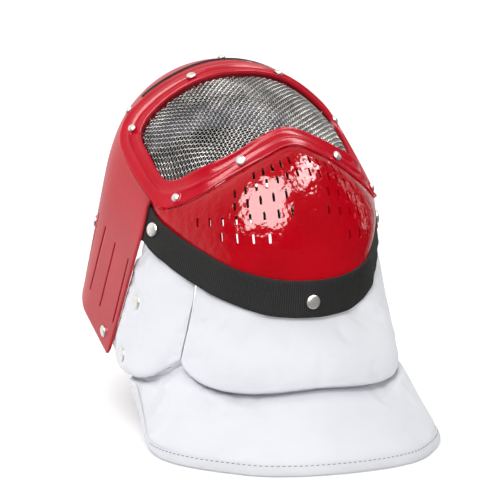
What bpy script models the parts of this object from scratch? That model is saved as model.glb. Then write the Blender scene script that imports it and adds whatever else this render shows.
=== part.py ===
"""A fencing mask: a hard red shell with a woven wire visor, a pierced chin
guard held by a webbing strap, and a padded white bib.

All sizes are in metres.  The shape tables give places as (side, forward, up):
side is the distance from the middle plane, forward the distance in front of
the ears and up the height over the bib's hem.  `place` turns such a place
into the part's frame, whose origin is the head's seat under the crown, with
+Z up and the face towards -Y.
"""

import math
from collections import namedtuple

import bmesh
import bpy
from mathutils import Matrix, Vector

# ---------------------------------------------------------------- sizes
SEAT_FORWARD = -0.068          # the head's seat, under the crown
SEAT_UP = 0.2835

GAP = 0.0004                   # clearance left between neighbouring pieces
SHELL_WALL = 0.0025
FRAME_WALL = 0.0028
GUARD_WALL = 0.0028
VISOR_WALL = 0.0014
WEBBING = 0.0020
PADDING = 0.0046

# helm: a raked arch over two flat side panels
SIDE_HALF_WIDTH = 0.107
EAR_UP = 0.190                 # the arch springs from here
CROWN_RISE = 0.101
CROWN_STATION = -0.070
CROWN_REACH = 0.095            # the crown falls to the ears over this length
CROWN_DIP = 6.0                # how fast it falls in front, per metre squared
ARCH_POWER = 2.05
BEND_STATION = -0.045          # the side panels start to turn inwards here
BACK_STATION = -0.160          # and would meet here
BEND_POWER = 1.7
CLOSE_POWER = 0.6
RAKE = 0.467                   # the panels lean back this much per height
RAKE_LIMIT = 0.010             # the most that the arch leans forward
CHEEK_TUCK = 0.010             # the cheeks narrow by this in front
CHEEK_LENGTH = 0.083
TUCK_FROM_UP = 0.157
PANEL_UNIT = 0.100             # height of one unit of girth below the ears

HEAD_CENTRE = Vector((0.0, 0.0, 0.160))
BIB_CENTRE = Vector((0.0, 0.040, -0.010))

# visor frame: the visor's opening and the frame's outer edge, from the crown
# round the cheek to the nose
FrameRow = namedtuple(
    "FrameRow", "open_side open_forward open_up edge_side edge_forward edge_up"
)
FRAME_ROWS = (
    FrameRow(0.0000, -0.0260, 0.2795, 0.0000, -0.0450, 0.2900),
    FrameRow(0.0210, -0.0272, 0.2778, 0.0240, -0.0465, 0.2870),
    FrameRow(0.0400, -0.0290, 0.2720, 0.0460, -0.0475, 0.2790),
    FrameRow(0.0560, -0.0310, 0.2630, 0.0640, -0.0485, 0.2695),
    FrameRow(0.0690, -0.0315, 0.2530, 0.0790, -0.0490, 0.2585),
    FrameRow(0.0790, -0.0305, 0.2430, 0.0910, -0.0480, 0.2465),
    FrameRow(0.0855, -0.0260, 0.2320, 0.0995, -0.0400, 0.2300),
    FrameRow(0.0860, -0.0040, 0.2165, 0.1010, -0.0080, 0.2075),
    FrameRow(0.0830, 0.0200, 0.2005, 0.0980, 0.0240, 0.1900),
    FrameRow(0.0770, 0.0340, 0.2035, 0.0950, 0.0355, 0.1843),
    FrameRow(0.0685, 0.0490, 0.2125, 0.0855, 0.0505, 0.1880),
    FrameRow(0.0570, 0.0600, 0.2205, 0.0720, 0.0630, 0.1975),
    FrameRow(0.0410, 0.0640, 0.2285, 0.0530, 0.0710, 0.2110),
    FrameRow(0.0210, 0.0623, 0.2385, 0.0270, 0.0790, 0.2265),
    FrameRow(0.0000, 0.0620, 0.2450, 0.0000, 0.0775, 0.2360),
)
SAMPLES = 2                    # stations built for each gap between rows
TOP_ROWS = 6                   # gaps from the crown to the temple
WING_ROW = 8                   # here the shell's edge leaves the frame
LIP_RISE = 0.0050              # the frame's lip over the wire
LIP_DROP = 0.0022
LIP_WIDTH = 0.0024
RIDGE_RISE = 0.0016
EDGE_RISE = 0.0012
EDGE_DROP = 0.0024
EDGE_UNDERCUT = 0.0026         # the frame's back edge lies in by this

# visor dome
VISOR_BULGE = 0.0045
VISOR_STEPS = 5

# strap round the chin guard, from the shell's edge to the chin, with the
# guard's swell over the chord between the frame and the strap
StrapRow = namedtuple(
    "StrapRow", "top_side top_forward top_up low_side low_forward low_up swell"
)
STRAP_ROWS = (
    StrapRow(0.0973, 0.0228, 0.1830, 0.1037, 0.0228, 0.1570, 0.0002),
    StrapRow(0.0965, 0.0330, 0.1763, 0.1015, 0.0312, 0.1508, 0.0008),
    StrapRow(0.0890, 0.0530, 0.1660, 0.0932, 0.0475, 0.1408, 0.0020),
    StrapRow(0.0770, 0.0730, 0.1565, 0.0800, 0.0695, 0.1290, 0.0060),
    StrapRow(0.0590, 0.0975, 0.1450, 0.0620, 0.0940, 0.1180, 0.0120),
    StrapRow(0.0310, 0.1150, 0.1375, 0.0335, 0.1135, 0.1085, 0.0160),
    StrapRow(0.0000, 0.1204, 0.1356, 0.0000, 0.1210, 0.1063, 0.0174),
)
GUARD_STEPS = 6
SWELL_POWER = 0.7
GUARD_TUCK = 0.45              # share of the strap's width that the guard fills
BIB_TUCK = 0.52                # where the bib starts behind the strap
STRAP_HALF = 0.0145
STRAP_INSET = 0.0045           # how far inside the helm's skin the strap runs
STRAP_BACK_REACH = 0.036
STRAP_BACK_UP = 0.154

# shell below the frame: girth and station of its front and rear edges
PanelRow = namedtuple("PanelRow", "front_girth front_station rear_girth")
PANEL_ROWS = (
    PanelRow(-0.070, 0.0250, -0.05),
    PanelRow(-0.330, 0.0376, -0.24),
    PanelRow(-0.680, 0.0320, -0.46),
    PanelRow(-1.030, 0.0265, -0.68),
    PanelRow(-1.350, 0.0210, -0.87),
    PanelRow(-1.395, 0.0180, -0.93),
)
SHELL_STEPS = 6
REAR_STATION = -0.096
CROWN_REAR_STATION = -0.120

# vent slots: upper and lower ends on the side panels
VentRow = namedtuple("VentRow", "top_forward top_up low_forward low_up")
VENT_ROWS = (
    VentRow(-0.072, 0.165, -0.113, 0.104),
    VentRow(-0.051, 0.157, -0.087, 0.097),
    VentRow(-0.029, 0.147, -0.064, 0.087),
    VentRow(0.000, 0.139, -0.034, 0.079),
)
VENT_WIDTH = 0.0024

# pierced slots of the chin guard
SLOT_WIDTH = 0.0020
SLOT_LENGTH = 0.0075
SlotRow = namedtuple("SlotRow", "down count pitch first")
SLOT_ROWS = (
    SlotRow(0.17, 5, 0.0079, 0.0088),
    SlotRow(0.28, 7, 0.0089, 0.0055),
    SlotRow(0.40, 5, 0.0105, 0.0190),
    SlotRow(0.50, 8, 0.0114, 0.0160),
    SlotRow(0.65, 4, 0.0132, 0.0360),
)

# bib: the upper tier hangs from the strap, the lower tier flares to the hem
TierRow = namedtuple("TierRow", "seam_side seam_forward seam_up swell")
UPPER_ROWS = (
    TierRow(0.0945, 0.0775, 0.0710, 0.0000),
    TierRow(0.0910, 0.0920, 0.0600, 0.0020),
    TierRow(0.0780, 0.1130, 0.0530, 0.0050),
    TierRow(0.0530, 0.1290, 0.0510, 0.0065),
    TierRow(0.0260, 0.1400, 0.0535, 0.0065),
    TierRow(0.0000, 0.1430, 0.0550, 0.0065),
)
UPPER_FIRST = 3.0              # strap row where the upper tier starts
UPPER_STEPS = 6

# seam between the upper tier and the side flap, below the strap
SeamRow = namedtuple("SeamRow", "side forward up")
SIDE_SEAM = (
    SeamRow(0.0800, 0.0725, 0.1225),
    SeamRow(0.0835, 0.0755, 0.1130),
    SeamRow(0.0868, 0.0775, 0.1030),
    SeamRow(0.0898, 0.0785, 0.0920),
    SeamRow(0.0922, 0.0785, 0.0810),
    SeamRow(0.0945, 0.0775, 0.0710),
)
SEAM_DIP = 0.0011              # the padding dips by this at the seam
SEAM_CLEAR = 0.0008            # and stands off it by this on each side
SEAM_ROUND = 0.0020            # it rounds over within this

HemRow = namedtuple(
    "HemRow", "top_side top_forward top_up hem_side hem_forward hem_up lift"
)
LOWER_ROWS = (
    HemRow(0.1080, -0.0020, 0.0440, 0.1195, 0.0740, 0.0050, 0.0100),
    HemRow(0.1075, 0.0260, 0.0460, 0.1200, 0.0980, 0.0040, 0.0050),
    HemRow(0.1020, 0.0560, 0.0540, 0.1140, 0.1210, 0.0040, 0.0020),
    HemRow(0.0945, 0.0760, 0.0660, 0.1020, 0.1410, 0.0040, 0.0000),
    HemRow(0.0890, 0.0970, 0.0590, 0.0880, 0.1575, 0.0040, 0.0000),
    HemRow(0.0745, 0.1130, 0.0520, 0.0690, 0.1750, 0.0040, 0.0000),
    HemRow(0.0510, 0.1275, 0.0500, 0.0460, 0.1850, 0.0040, 0.0000),
    HemRow(0.0250, 0.1380, 0.0520, 0.0230, 0.1895, 0.0040, 0.0000),
    HemRow(0.0000, 0.1410, 0.0535, 0.0000, 0.1910, 0.0040, 0.0000),
)
LOWER_STEPS = 6
BINDING_WIDTH = 0.0080
BINDING_THICK = 0.0058
BINDING_CLEAR = 0.0008
BINDING_FIRST = 3              # row of the lower tier where the binding starts

# side flap: where it hangs from the strap, counted in strap rows, and its
# bottom edge over the lower tier
FlapRow = namedtuple("FlapRow", "strap_row low_side low_forward low_up swell")
FLAP_ROWS = (
    FlapRow(0.02, 0.1036, -0.0370, 0.0560, 0.0002),
    FlapRow(0.55, 0.1080, -0.0210, 0.0480, 0.0025),
    FlapRow(1.30, 0.1100, 0.0130, 0.0455, 0.0040),
    FlapRow(2.10, 0.1065, 0.0430, 0.0505, 0.0020),
    FlapRow(3.00, 0.0945, 0.0775, 0.0710, 0.0000),
)
FLAP_STEPS = 6
FLAP_MARGIN = 0.0080           # the part of the flap that lies under the shell
FLAP_MARGIN_DROP = 0.0060

# crown strap
CROWN_STRAP_STATION = -0.0640
CROWN_STRAP_WIDTH = 0.0020
CROWN_STRAP_END = 0.50         # girth where it ends
CROWN_STRAP_THICK = 0.0010

# liner behind the head and pale pad over the brow
LINER_SHRINK = 0.0445
LINER_WALL = 0.0030
LINER_FRONT = -0.073
LINER_LOW_GIRTH = -0.155
LINER_COLUMNS = 11
LINER_STEPS = 9
BROW_HALF_WIDTH = 0.0911
BROW_RISE = 0.055
BROW_FORWARD = -0.050
BROW_HALF_HEIGHT = 0.011
BROW_THICK = 0.006
BROW_COLUMNS = 12

# rivets: place, cap radius; a side of zero is built once
RivetRow = namedtuple("RivetRow", "name host side forward up radius")
RIVET_ROWS = (
    RivetRow("rivet_frame_upper", "visor_frame", 0.0390, -0.0360, 0.2800, 0.0038),
    RivetRow("rivet_frame_side", "visor_frame", 0.0920, -0.0350, 0.2400, 0.0032),
    RivetRow("rivet_frame_cheek", "visor_frame", 0.0830, 0.0450, 0.1930, 0.0034),
    RivetRow("rivet_frame_nose", "visor_frame", 0.0410, 0.0705, 0.2240, 0.0040),
    RivetRow("rivet_crown", "helmet_shell", 0.0000, -0.0660, 0.2940, 0.0036),
    RivetRow("rivet_crown_end", "helmet_shell", 0.0850, -0.0570, 0.2510, 0.0036),
    RivetRow("rivet_strap_end", "chin_strap", 0.0995, 0.0310, 0.1672, 0.0056),
    RivetRow("rivet_strap_chin", "chin_strap", 0.0000, 0.1220, 0.1185, 0.0056),
    RivetRow("rivet_shell_low", "helmet_shell", 0.1070, -0.0545, 0.0685, 0.0050),
    RivetRow("rivet_shell_rear", "helmet_shell", 0.0970, -0.0960, 0.1540, 0.0050),
    RivetRow("rivet_flap_upper", "bib_flap_left", 0.1060, 0.0180, 0.1070, 0.0056),
    RivetRow("rivet_flap_low", "bib_flap_left", 0.1090, -0.0060, 0.0590, 0.0056),
)
RIVET_SIDES = 8
CAP_HEIGHT = 0.0020
CAP_RIM = 0.0006
SEAT_CLEARANCE = 0.0003
SEAT_PROBES = 8

# colours, linear
GLOSSY_RED = (0.60, 0.006, 0.018)
SATIN_RED = (0.54, 0.020, 0.032)
WIRE_GREY = (0.42, 0.41, 0.40)
WEBBING_BLACK = (0.014, 0.013, 0.013)
BIB_WHITE = (0.86, 0.87, 0.91)
NICKEL = (0.70, 0.68, 0.66)
LINER_GREY = (0.030, 0.030, 0.032)
BROW_BLUE = (0.42, 0.50, 0.66)


# ---------------------------------------------------------------- helpers
def clear_scene():
    """Remove every object that the scene starts with."""
    for item in list(bpy.data.objects):
        bpy.data.objects.remove(item, do_unlink=True)


def new_collection(name):
    """Add a collection to the scene."""
    collection = bpy.data.collections.new(name)
    bpy.context.scene.collection.children.link(collection)
    return collection


def finish(name, colour, roughness, metallic=0.0):
    """Return a Principled material."""
    material = bpy.data.materials.new(name)
    material.use_nodes = True
    shader = material.node_tree.nodes["Principled BSDF"]
    shader.inputs["Base Color"].default_value = (*colour, 1.0)
    shader.inputs["Roughness"].default_value = roughness
    shader.inputs["Metallic"].default_value = metallic
    return material


def place(spot):
    """Turn (side, forward, up) into the part's frame."""
    return Vector((spot[0], SEAT_FORWARD - spot[1], spot[2] - SEAT_UP))


def across(spot):
    """Return the same spot on the other side of the middle plane."""
    return Vector((-spot[0], spot[1], spot[2]))


def clamp(value):
    """Limit a share to the range from 0 to 1."""
    return min(1.0, max(0.0, value))


def mix(first, second, share):
    """Return the spot at a share of the way from one spot to another."""
    return first + (second - first) * share


def smooth(rows, per_gap, mirror_start=False, mirror_end=False):
    """Return spots on a smooth curve through rows of spots.

    Each row holds the same number of spots, which share one parameter.  An
    end on the middle plane is met square when it is mirrored.
    """

    def beyond(end, inner, mirrored):
        if mirrored:
            return [across(spot) for spot in inner]
        return [2 * a - b for a, b in zip(end, inner)]

    def knot(row_a, row_b):
        return max(1e-4, sum((a - b).length for a, b in zip(row_a, row_b))) ** 0.5

    def blend(a, b, ta, tb, t):
        return [(p * (tb - t) + q * (t - ta)) / (tb - ta) for p, q in zip(a, b)]

    chain = [beyond(rows[0], rows[1], mirror_start)]
    chain.extend(rows)
    chain.append(beyond(rows[-1], rows[-2], mirror_end))
    result = []
    for index in range(1, len(chain) - 2):
        a, b, c, d = chain[index - 1:index + 3]
        ta = 0.0
        tb = knot(a, b)
        tc = tb + knot(b, c)
        td = tc + knot(c, d)
        for step in range(per_gap):
            t = tb + (tc - tb) * step / per_gap
            ab = blend(a, b, ta, tb, t)
            bc = blend(b, c, tb, tc, t)
            cd = blend(c, d, tc, td, t)
            abc = blend(ab, bc, ta, tc, t)
            bcd = blend(bc, cd, tb, td, t)
            result.append(blend(abc, bcd, tb, tc, t))
    result.append([spot.copy() for spot in rows[-1]])
    return result


def slope(line, index):
    """Return the direction of a line of spots at one of them."""
    before = line[max(0, index - 1)]
    after = line[min(len(line) - 1, index + 1)]
    return (after - before).normalized()


def outward(along, down, spot, centre=HEAD_CENTRE):
    """Return the unit normal of two directions that points off the centre."""
    normal = along.cross(down).normalized()
    return normal if normal.dot(spot - centre) >= 0 else -normal


def pushed(line, partner, distance, centre=HEAD_CENTRE):
    """Move a line along the normals of the band between it and a partner."""
    moved = []
    for index, spot in enumerate(line):
        normal = outward(slope(line, index), partner[index] - spot, spot, centre)
        if abs(spot.x) < 1e-7:
            normal.x = 0.0
            normal.normalize()
        moved.append(spot + normal * distance)
    return moved


def add_part(name, mesh, material, collection):
    """Link a mesh into the part as a named piece."""
    piece = bpy.data.objects.new(name, mesh)
    piece.data.materials.append(material)
    collection.objects.link(piece)
    return piece


def sheet(name, grid, wall, material, collection, centre=HEAD_CENTRE,
          mirrored=True):
    """Make a walled piece from a grid of spots on its outer surface."""
    surface = bmesh.new()
    corners = [[surface.verts.new(place(spot)) for spot in row] for row in grid]
    for upper, lower in zip(corners, corners[1:]):
        for index in range(len(upper) - 1):
            quad = (upper[index], upper[index + 1], lower[index + 1], lower[index])
            surface.faces.new(quad)
    bmesh.ops.remove_doubles(surface, verts=surface.verts, dist=1e-6)
    middle = place(centre)
    surface.normal_update()
    score = sum(
        face.normal.dot(face.calc_center_median() - middle) * face.calc_area()
        for face in surface.faces
    )
    if score < 0:
        bmesh.ops.reverse_faces(surface, faces=surface.faces)
    mesh = bpy.data.meshes.new(name)
    surface.to_mesh(mesh)
    surface.free()
    mesh.shade_smooth()
    piece = add_part(name, mesh, material, collection)
    if mirrored:
        add_mirror(piece)
    solidify = piece.modifiers.new("wall", "SOLIDIFY")
    solidify.thickness = wall
    solidify.offset = -1.0
    solidify.use_even_offset = True
    return piece


def add_mirror(piece):
    """Mirror a half across the middle plane."""
    mirror = piece.modifiers.new("other_half", "MIRROR")
    mirror.use_axis = (True, False, False)
    mirror.merge_threshold = 0.00001


def tube(name, sections, material, collection, capped=False):
    """Make half a ring from closed sections and mirror it.

    The last section always lies on the middle plane.  The first one does
    too, unless it is capped.
    """
    skin = bmesh.new()
    rings = [[skin.verts.new(place(spot)) for spot in ring] for ring in sections]
    for first, second in zip(rings, rings[1:]):
        for index in range(len(first)):
            after = (index + 1) % len(first)
            quad = (first[index], first[after], second[after], second[index])
            skin.faces.new(quad)
    if capped:
        skin.faces.new(rings[0])
    skin.normal_update()
    skin.faces.ensure_lookup_table()
    core = sum((v.co for v in rings[0] + rings[1]), Vector()) / (2 * len(rings[0]))
    score = sum(
        face.normal.dot(face.calc_center_median() - core) * face.calc_area()
        for face in skin.faces[:len(rings[0])]
    )
    if score < 0:
        bmesh.ops.reverse_faces(skin, faces=skin.faces)
    if capped:
        bmesh.ops.recalc_face_normals(skin, faces=skin.faces)
    mesh = bpy.data.meshes.new(name)
    skin.to_mesh(mesh)
    skin.free()
    mesh.shade_smooth()
    piece = add_part(name, mesh, material, collection)
    add_mirror(piece)
    return piece


# ---------------------------------------------------------------- helm form
def half_width(station):
    """Return the helm's half width at a station."""
    bend = clamp((BEND_STATION - station) / (BEND_STATION - BACK_STATION))
    return SIDE_HALF_WIDTH * (1 - bend ** BEND_POWER) ** CLOSE_POWER


def crown_rise(station):
    """Return the crown's height over the ears at a station."""
    behind = (CROWN_STATION - station) / CROWN_REACH
    if behind < 0:
        return CROWN_RISE - CROWN_DIP * (station - CROWN_STATION) ** 2
    return CROWN_RISE * math.sqrt(1 - min(1.0, behind) ** 2)


def lean(up):
    """Return how far forward of its station the raked helm lies at a height."""
    over = up - EAR_UP
    if over < 0:
        return RAKE * over
    return RAKE_LIMIT * (1 - math.exp(-RAKE * over / RAKE_LIMIT))


def helm(girth, station, shrink=0.0):
    """Return a spot on the helm.

    Girth runs from 1 at the crown to 0 at the ears, and below them it is
    minus the drop in panel units.
    """
    scale = 1 - shrink
    width = half_width(station) * scale
    if girth > 0:
        angle = girth * math.pi / 2
        side = width * max(0.0, math.cos(angle)) ** (2 / ARCH_POWER)
        rise = math.sin(angle) ** (2 / ARCH_POWER)
        up = EAR_UP + crown_rise(station) * rise * scale
    else:
        side = width
        up = EAR_UP + PANEL_UNIT * girth
    forward_share = clamp((station - BEND_STATION) / CHEEK_LENGTH)
    height_share = clamp((up - TUCK_FROM_UP) / (EAR_UP - TUCK_FROM_UP))
    if girth < 1:
        side -= CHEEK_TUCK * forward_share * height_share
    else:
        side = 0.0
    return Vector((side, station + lean(up), up))


def girth_and_station(spot):
    """Return the girth and station of a spot near the helm."""
    station = spot.y - lean(spot.z)
    over = spot.z - EAR_UP
    if over <= 0:
        return over / PANEL_UNIT, station
    share = min(1.0, (over / crown_rise(station))) ** (ARCH_POWER / 2)
    by_up = math.asin(share) * 2 / math.pi
    if spot.x < 1e-6:
        return 1.0, station
    side_share = min(1.0, spot.x / half_width(station)) ** (ARCH_POWER / 2)
    by_side = math.acos(side_share) * 2 / math.pi
    weight = by_up ** 2
    return by_up * (1 - weight) + by_side * weight, station


# ---------------------------------------------------------------- pieces
def frame_lines():
    """Return the frame's opening and outer edge as lines of spots."""
    rows = [
        (
            Vector((row.open_side, row.open_forward, row.open_up)),
            Vector((row.edge_side, row.edge_forward, row.edge_up)),
        )
        for row in FRAME_ROWS
    ]
    stations = smooth(rows, SAMPLES, mirror_start=True, mirror_end=True)
    return [row[0] for row in stations], [row[1] for row in stations]


def strap_lines():
    """Return the strap's upper and lower edges from the shell to the chin."""
    rows = [
        (
            Vector((row.top_side, row.top_forward, row.top_up)),
            Vector((row.low_side, row.low_forward, row.low_up)),
            Vector((row.swell, 0.0, 0.0)),
        )
        for row in STRAP_ROWS
    ]
    stations = smooth(rows, SAMPLES, mirror_end=True)
    stations[-1][2].x = STRAP_ROWS[-1].swell
    swells = [max(0.0, row[2].x) for row in stations]
    return [row[0] for row in stations], [row[1] for row in stations], swells


def visor_up(opening):
    """Return the direction in which the frame's lip stands over the wire."""
    return Vector((0.55 * opening.x / SIDE_HALF_WIDTH, 0.42, 0.90)).normalized()


def make_frame(opening, edge, material, collection):
    """Make the glossy ring round the visor, with a lip, a ridge and an edge."""
    sections = []
    for index, (inner, outer) in enumerate(zip(opening, edge)):
        lift = visor_up(inner)
        band = (outer - inner).normalized()
        normal = outward(slope(edge, index), band, outer)
        for direction in (lift, normal, band):
            if abs(inner.x) < 1e-7:
                direction.x = 0.0
                direction.normalize()
        lip = inner + lift * LIP_RISE
        brow = mix(lip, outer, 0.14) + normal * 0.0006
        groove = mix(lip, outer, 0.42) - normal * 0.0002
        ridge = mix(lip, outer, 0.56) + normal * RIDGE_RISE
        rim = outer + normal * EDGE_RISE
        back_rim = outer - normal * EDGE_DROP - band * EDGE_UNDERCUT
        back_mid = mix(inner, outer, 0.55) - normal * (FRAME_WALL * 0.9)
        foot = inner - lift * LIP_DROP
        sections.append((foot, lip, brow, groove, ridge, rim, back_rim, back_mid))
    return tube("visor_frame", sections, material, collection)


def make_visor(opening, material, collection):
    """Make the wire visor's dome inside the frame's opening."""
    top_end = TOP_ROWS * SAMPLES
    low_start = WING_ROW * SAMPLES
    inset = []
    for index, spot in enumerate(opening):
        lift = visor_up(spot)
        side = lift.cross(slope(opening, index)).normalized()
        middle = Vector((0.0, 0.015, spot.z))
        if side.dot(middle - spot) < 0:
            side = -side
        if abs(spot.x) < 1e-7:
            side.x = 0.0
        inset.append(spot + side * GAP * 2 + lift * VISOR_WALL * 0.5)
    top = inset[:top_end + 1]
    side_edge = inset[top_end:low_start + 1]
    low = list(reversed(inset[low_start:]))
    grid = []
    for step in range(VISOR_STEPS + 1):
        share = step / VISOR_STEPS
        position = share * (len(side_edge) - 1)
        below = min(int(position), len(side_edge) - 2)
        corner = mix(side_edge[below], side_edge[below + 1], position - below)
        slip = corner - mix(top[-1], low[-1], share)
        row = []
        for column, (first, last) in enumerate(zip(top, low)):
            reach = column / (len(top) - 1)
            bulge = VISOR_BULGE * 4 * share * (1 - share) * (1 - reach ** 4)
            spot = mix(first, last, share) + slip * reach ** 3
            row.append(spot + visor_up(spot) * bulge)
        row[0].x = 0.0
        grid.append(row)
    return sheet("visor_mesh", grid, VISOR_WALL, material, collection)


def make_shell(edge, material, collection, cutters):
    """Make the shell over the crown and both sides, with its vents."""
    columns = []
    for index in range(WING_ROW * SAMPLES + 1):
        spot = edge[index]
        girth, station = girth_and_station(spot)
        rear_station = REAR_STATION
        crown_share = math.sin(math.pi / 2 * clamp(girth)) ** 2
        rear_station += (CROWN_REAR_STATION - REAR_STATION) * crown_share
        columns.append((girth, station, max(0.0, girth), rear_station, spot))
    panel = [Vector((columns[-1][0], columns[-1][1], columns[-1][2]))]
    panel += [Vector((r.front_girth, r.front_station, r.rear_girth)) for r in PANEL_ROWS]
    for first, second in zip(panel, panel[1:]):
        parts = max(1, round((second - first).length / 0.16))
        for part in range(1, parts + 1):
            row = mix(first, second, part / parts)
            columns.append((row.x, row.y, row.z, REAR_STATION, None))
    grid = []
    for step in range(SHELL_STEPS + 1):
        share = step / SHELL_STEPS
        row = []
        for girth, station, rear_girth, rear_station, spot in columns:
            here_girth = girth + (rear_girth - girth) * share
            here_station = station + (rear_station - station) * share
            here = helm(here_girth, here_station)
            if spot is not None:
                here += (spot - helm(girth, station)) * (1 - share) ** 2
            row.append(here)
        row[0].x = 0.0
        grid.append(row)
    for index, spot in enumerate(grid[0]):
        clear = GAP * 2 if index < TOP_ROWS * SAMPLES else GAP * 4
        spot += (grid[1][index] - spot).normalized() * clear
    shell = sheet("helmet_shell", grid, SHELL_WALL, material, collection)
    vents = make_vent_cutters(cutters)
    cut(shell, vents)
    return shell


def cut(piece, cutter):
    """Cut one piece with a cutter."""
    boolean = piece.modifiers.new("slots", "BOOLEAN")
    boolean.operation = "DIFFERENCE"
    boolean.solver = "EXACT"
    boolean.object = cutter


def box(into, centre, axes, size):
    """Add a turned box to a bmesh."""
    turn = Matrix((axes[0], axes[1], axes[2])).transposed().to_4x4()
    scale = Matrix.Diagonal((*size, 1.0))
    matrix = Matrix.Translation(centre) @ turn @ scale
    bmesh.ops.create_cube(into, size=1.0, matrix=matrix)


def cutter_object(name, form, cutters):
    """Turn a bmesh of boxes into a hidden cutter."""
    bmesh.ops.recalc_face_normals(form, faces=form.faces)
    mesh = bpy.data.meshes.new(name)
    form.to_mesh(mesh)
    form.free()
    cutter = bpy.data.objects.new(name, mesh)
    cutter.hide_render = True
    cutter.display_type = "WIRE"
    cutters.objects.link(cutter)
    return cutter


def make_vent_cutters(cutters):
    """Return the cutter of the vent slots in both side panels."""
    form = bmesh.new()
    for row in VENT_ROWS:
        for sign in (-1, 1):
            side = sign * half_width((row.top_forward + row.low_forward) / 2)
            top = place(Vector((side, row.top_forward, row.top_up)))
            low = place(Vector((side, row.low_forward, row.low_up)))
            long = (top - low).normalized()
            out = Vector((1.0, 0.0, 0.0))
            wide = long.cross(out).normalized()
            size = (0.040, VENT_WIDTH, (top - low).length)
            box(form, (top + low) / 2, (out, wide, long), size)
    return cutter_object("vent_cutter", form, cutters)


def guard_grid(edge, strap_top, strap_low, swells):
    """Return the chin guard's outer surface, from the frame to the strap."""
    start = WING_ROW * SAMPLES
    hidden_top = pushed(strap_top, strap_low, -(WEBBING + GAP * 1.5))
    hidden_low = pushed(strap_low, strap_top, -(WEBBING + GAP * 1.5))
    top = []
    for index in range(start, len(edge)):
        target = hidden_top[index - start]
        spot = edge[index]
        clear = GAP * (1.5 + 3.0 * clamp(1 - (index - start) / 4))
        top.append(spot + (target - spot).normalized() * clear)
    grid = [[] for _ in range(GUARD_STEPS + 2)]
    for index, (upper, lower) in enumerate(zip(top, hidden_top)):
        along = slope(hidden_top, index) + slope(top, index)
        normal = outward(along, lower - upper, mix(upper, lower, 0.5))
        if abs(upper.x) < 1e-7:
            normal.x = 0.0
            normal.normalize()
        for step in range(GUARD_STEPS + 1):
            share = (1 - math.cos(math.pi * step / GUARD_STEPS)) / 2
            share = 0.5 * share + 0.5 * step / GUARD_STEPS
            swell = swells[index] * (4 * share * (1 - share)) ** SWELL_POWER
            grid[step].append(mix(upper, lower, share) + normal * swell)
        grid[-1].append(mix(lower, hidden_low[index], GUARD_TUCK))
    return grid


def on_grid(grid, along, down):
    """Return the spot and normal at a length from the middle and a share down."""
    row_position = down * (len(grid) - 2)
    row_index = int(row_position)
    row = [
        mix(a, b, row_position - row_index)
        for a, b in zip(grid[row_index], grid[row_index + 1])
    ]
    below = [
        mix(a, b, row_position - row_index)
        for a, b in zip(grid[row_index + 1], grid[row_index + 2])
    ]
    row.reverse()
    below.reverse()
    for index in range(len(row) - 1):
        length = (row[index + 1] - row[index]).length
        if along <= length or index == len(row) - 2:
            share = along / length
            spot = mix(row[index], row[index + 1], share)
            across_it = (row[index + 1] - row[index]).normalized()
            down_it = (mix(below[index], below[index + 1], share) - spot).normalized()
            return spot, outward(across_it, down_it, spot), down_it
        along -= length
    return None


def make_slot_cutters(grid, cutters):
    """Return the cutter of the guard's staggered slots."""
    form = bmesh.new()
    for row in SLOT_ROWS:
        for index in range(row.count):
            length = row.first + row.pitch * index
            spot, normal, down = on_grid(grid, length, row.down)
            for mirrored in (False, True):
                here, out, long = spot, normal, down
                if mirrored:
                    here, out, long = across(spot), across(normal), across(down)
                if mirrored and length < 1e-6:
                    continue
                centre = place(here)
                out = Vector((out.x, -out.y, out.z)).normalized()
                long = Vector((long.x, -long.y, long.z))
                long = (long - out * long.dot(out)).normalized()
                wide = long.cross(out).normalized()
                box(form, centre, (out, wide, long), (0.012, SLOT_WIDTH, SLOT_LENGTH))
    return cutter_object("slot_cutter", form, cutters)


def make_guard(grid, material, collection, cutters):
    """Make the bulging chin guard with its slots."""
    guard = sheet("chin_guard", grid, GUARD_WALL, material, collection)
    cut(guard, make_slot_cutters(grid, cutters))
    return guard


def make_strap(strap_top, strap_low, material, collection):
    """Make the webbing loop: round the guard, inside the shell and behind."""
    top = list(reversed(strap_top))
    low = list(reversed(strap_low))
    inset = STRAP_INSET / SIDE_HALF_WIDTH
    start = mix(top[-1], low[-1], 0.5)
    for station in (0.006, -0.014, -0.034, -0.054, -0.072, -0.088, -0.100):
        share = clamp((start.y - station) / (start.y + 0.100))
        middle_up = start.z + (STRAP_BACK_UP - start.z) * share
        for line, sign in ((top, 1), (low, -1)):
            up = middle_up + sign * STRAP_HALF
            spot = helm((up - EAR_UP) / PANEL_UNIT, station, inset)
            line.append(spot)
    last = helm((STRAP_BACK_UP - EAR_UP) / PANEL_UNIT, -0.100, inset)
    turn_steps = 8
    for step in range(1, turn_steps + 1):
        angle = math.pi / 2 * step / turn_steps
        side = last.x * math.cos(angle) if step < turn_steps else 0.0
        forward = last.y - STRAP_BACK_REACH * math.sin(angle)
        for line, sign in ((top, 1), (low, -1)):
            line.append(Vector((side, forward, STRAP_BACK_UP + sign * STRAP_HALF)))
    return sheet("chin_strap", [top, low], WEBBING, material, collection)


def make_crown_strap(material, collection):
    """Make the thin band over the crown."""
    columns = 12
    rise = (CROWN_STRAP_THICK + GAP * 1.6) / CROWN_RISE
    grid = []
    for share in (0.0, 0.5, 1.0):
        station = CROWN_STRAP_STATION - CROWN_STRAP_WIDTH * share
        row = []
        for column in range(columns + 1):
            girth = 1.0 - (1.0 - CROWN_STRAP_END) * column / columns
            row.append(helm(girth, station, -rise))
        grid.append(row)
    return sheet("crown_strap", grid, CROWN_STRAP_THICK, material, collection)


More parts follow.
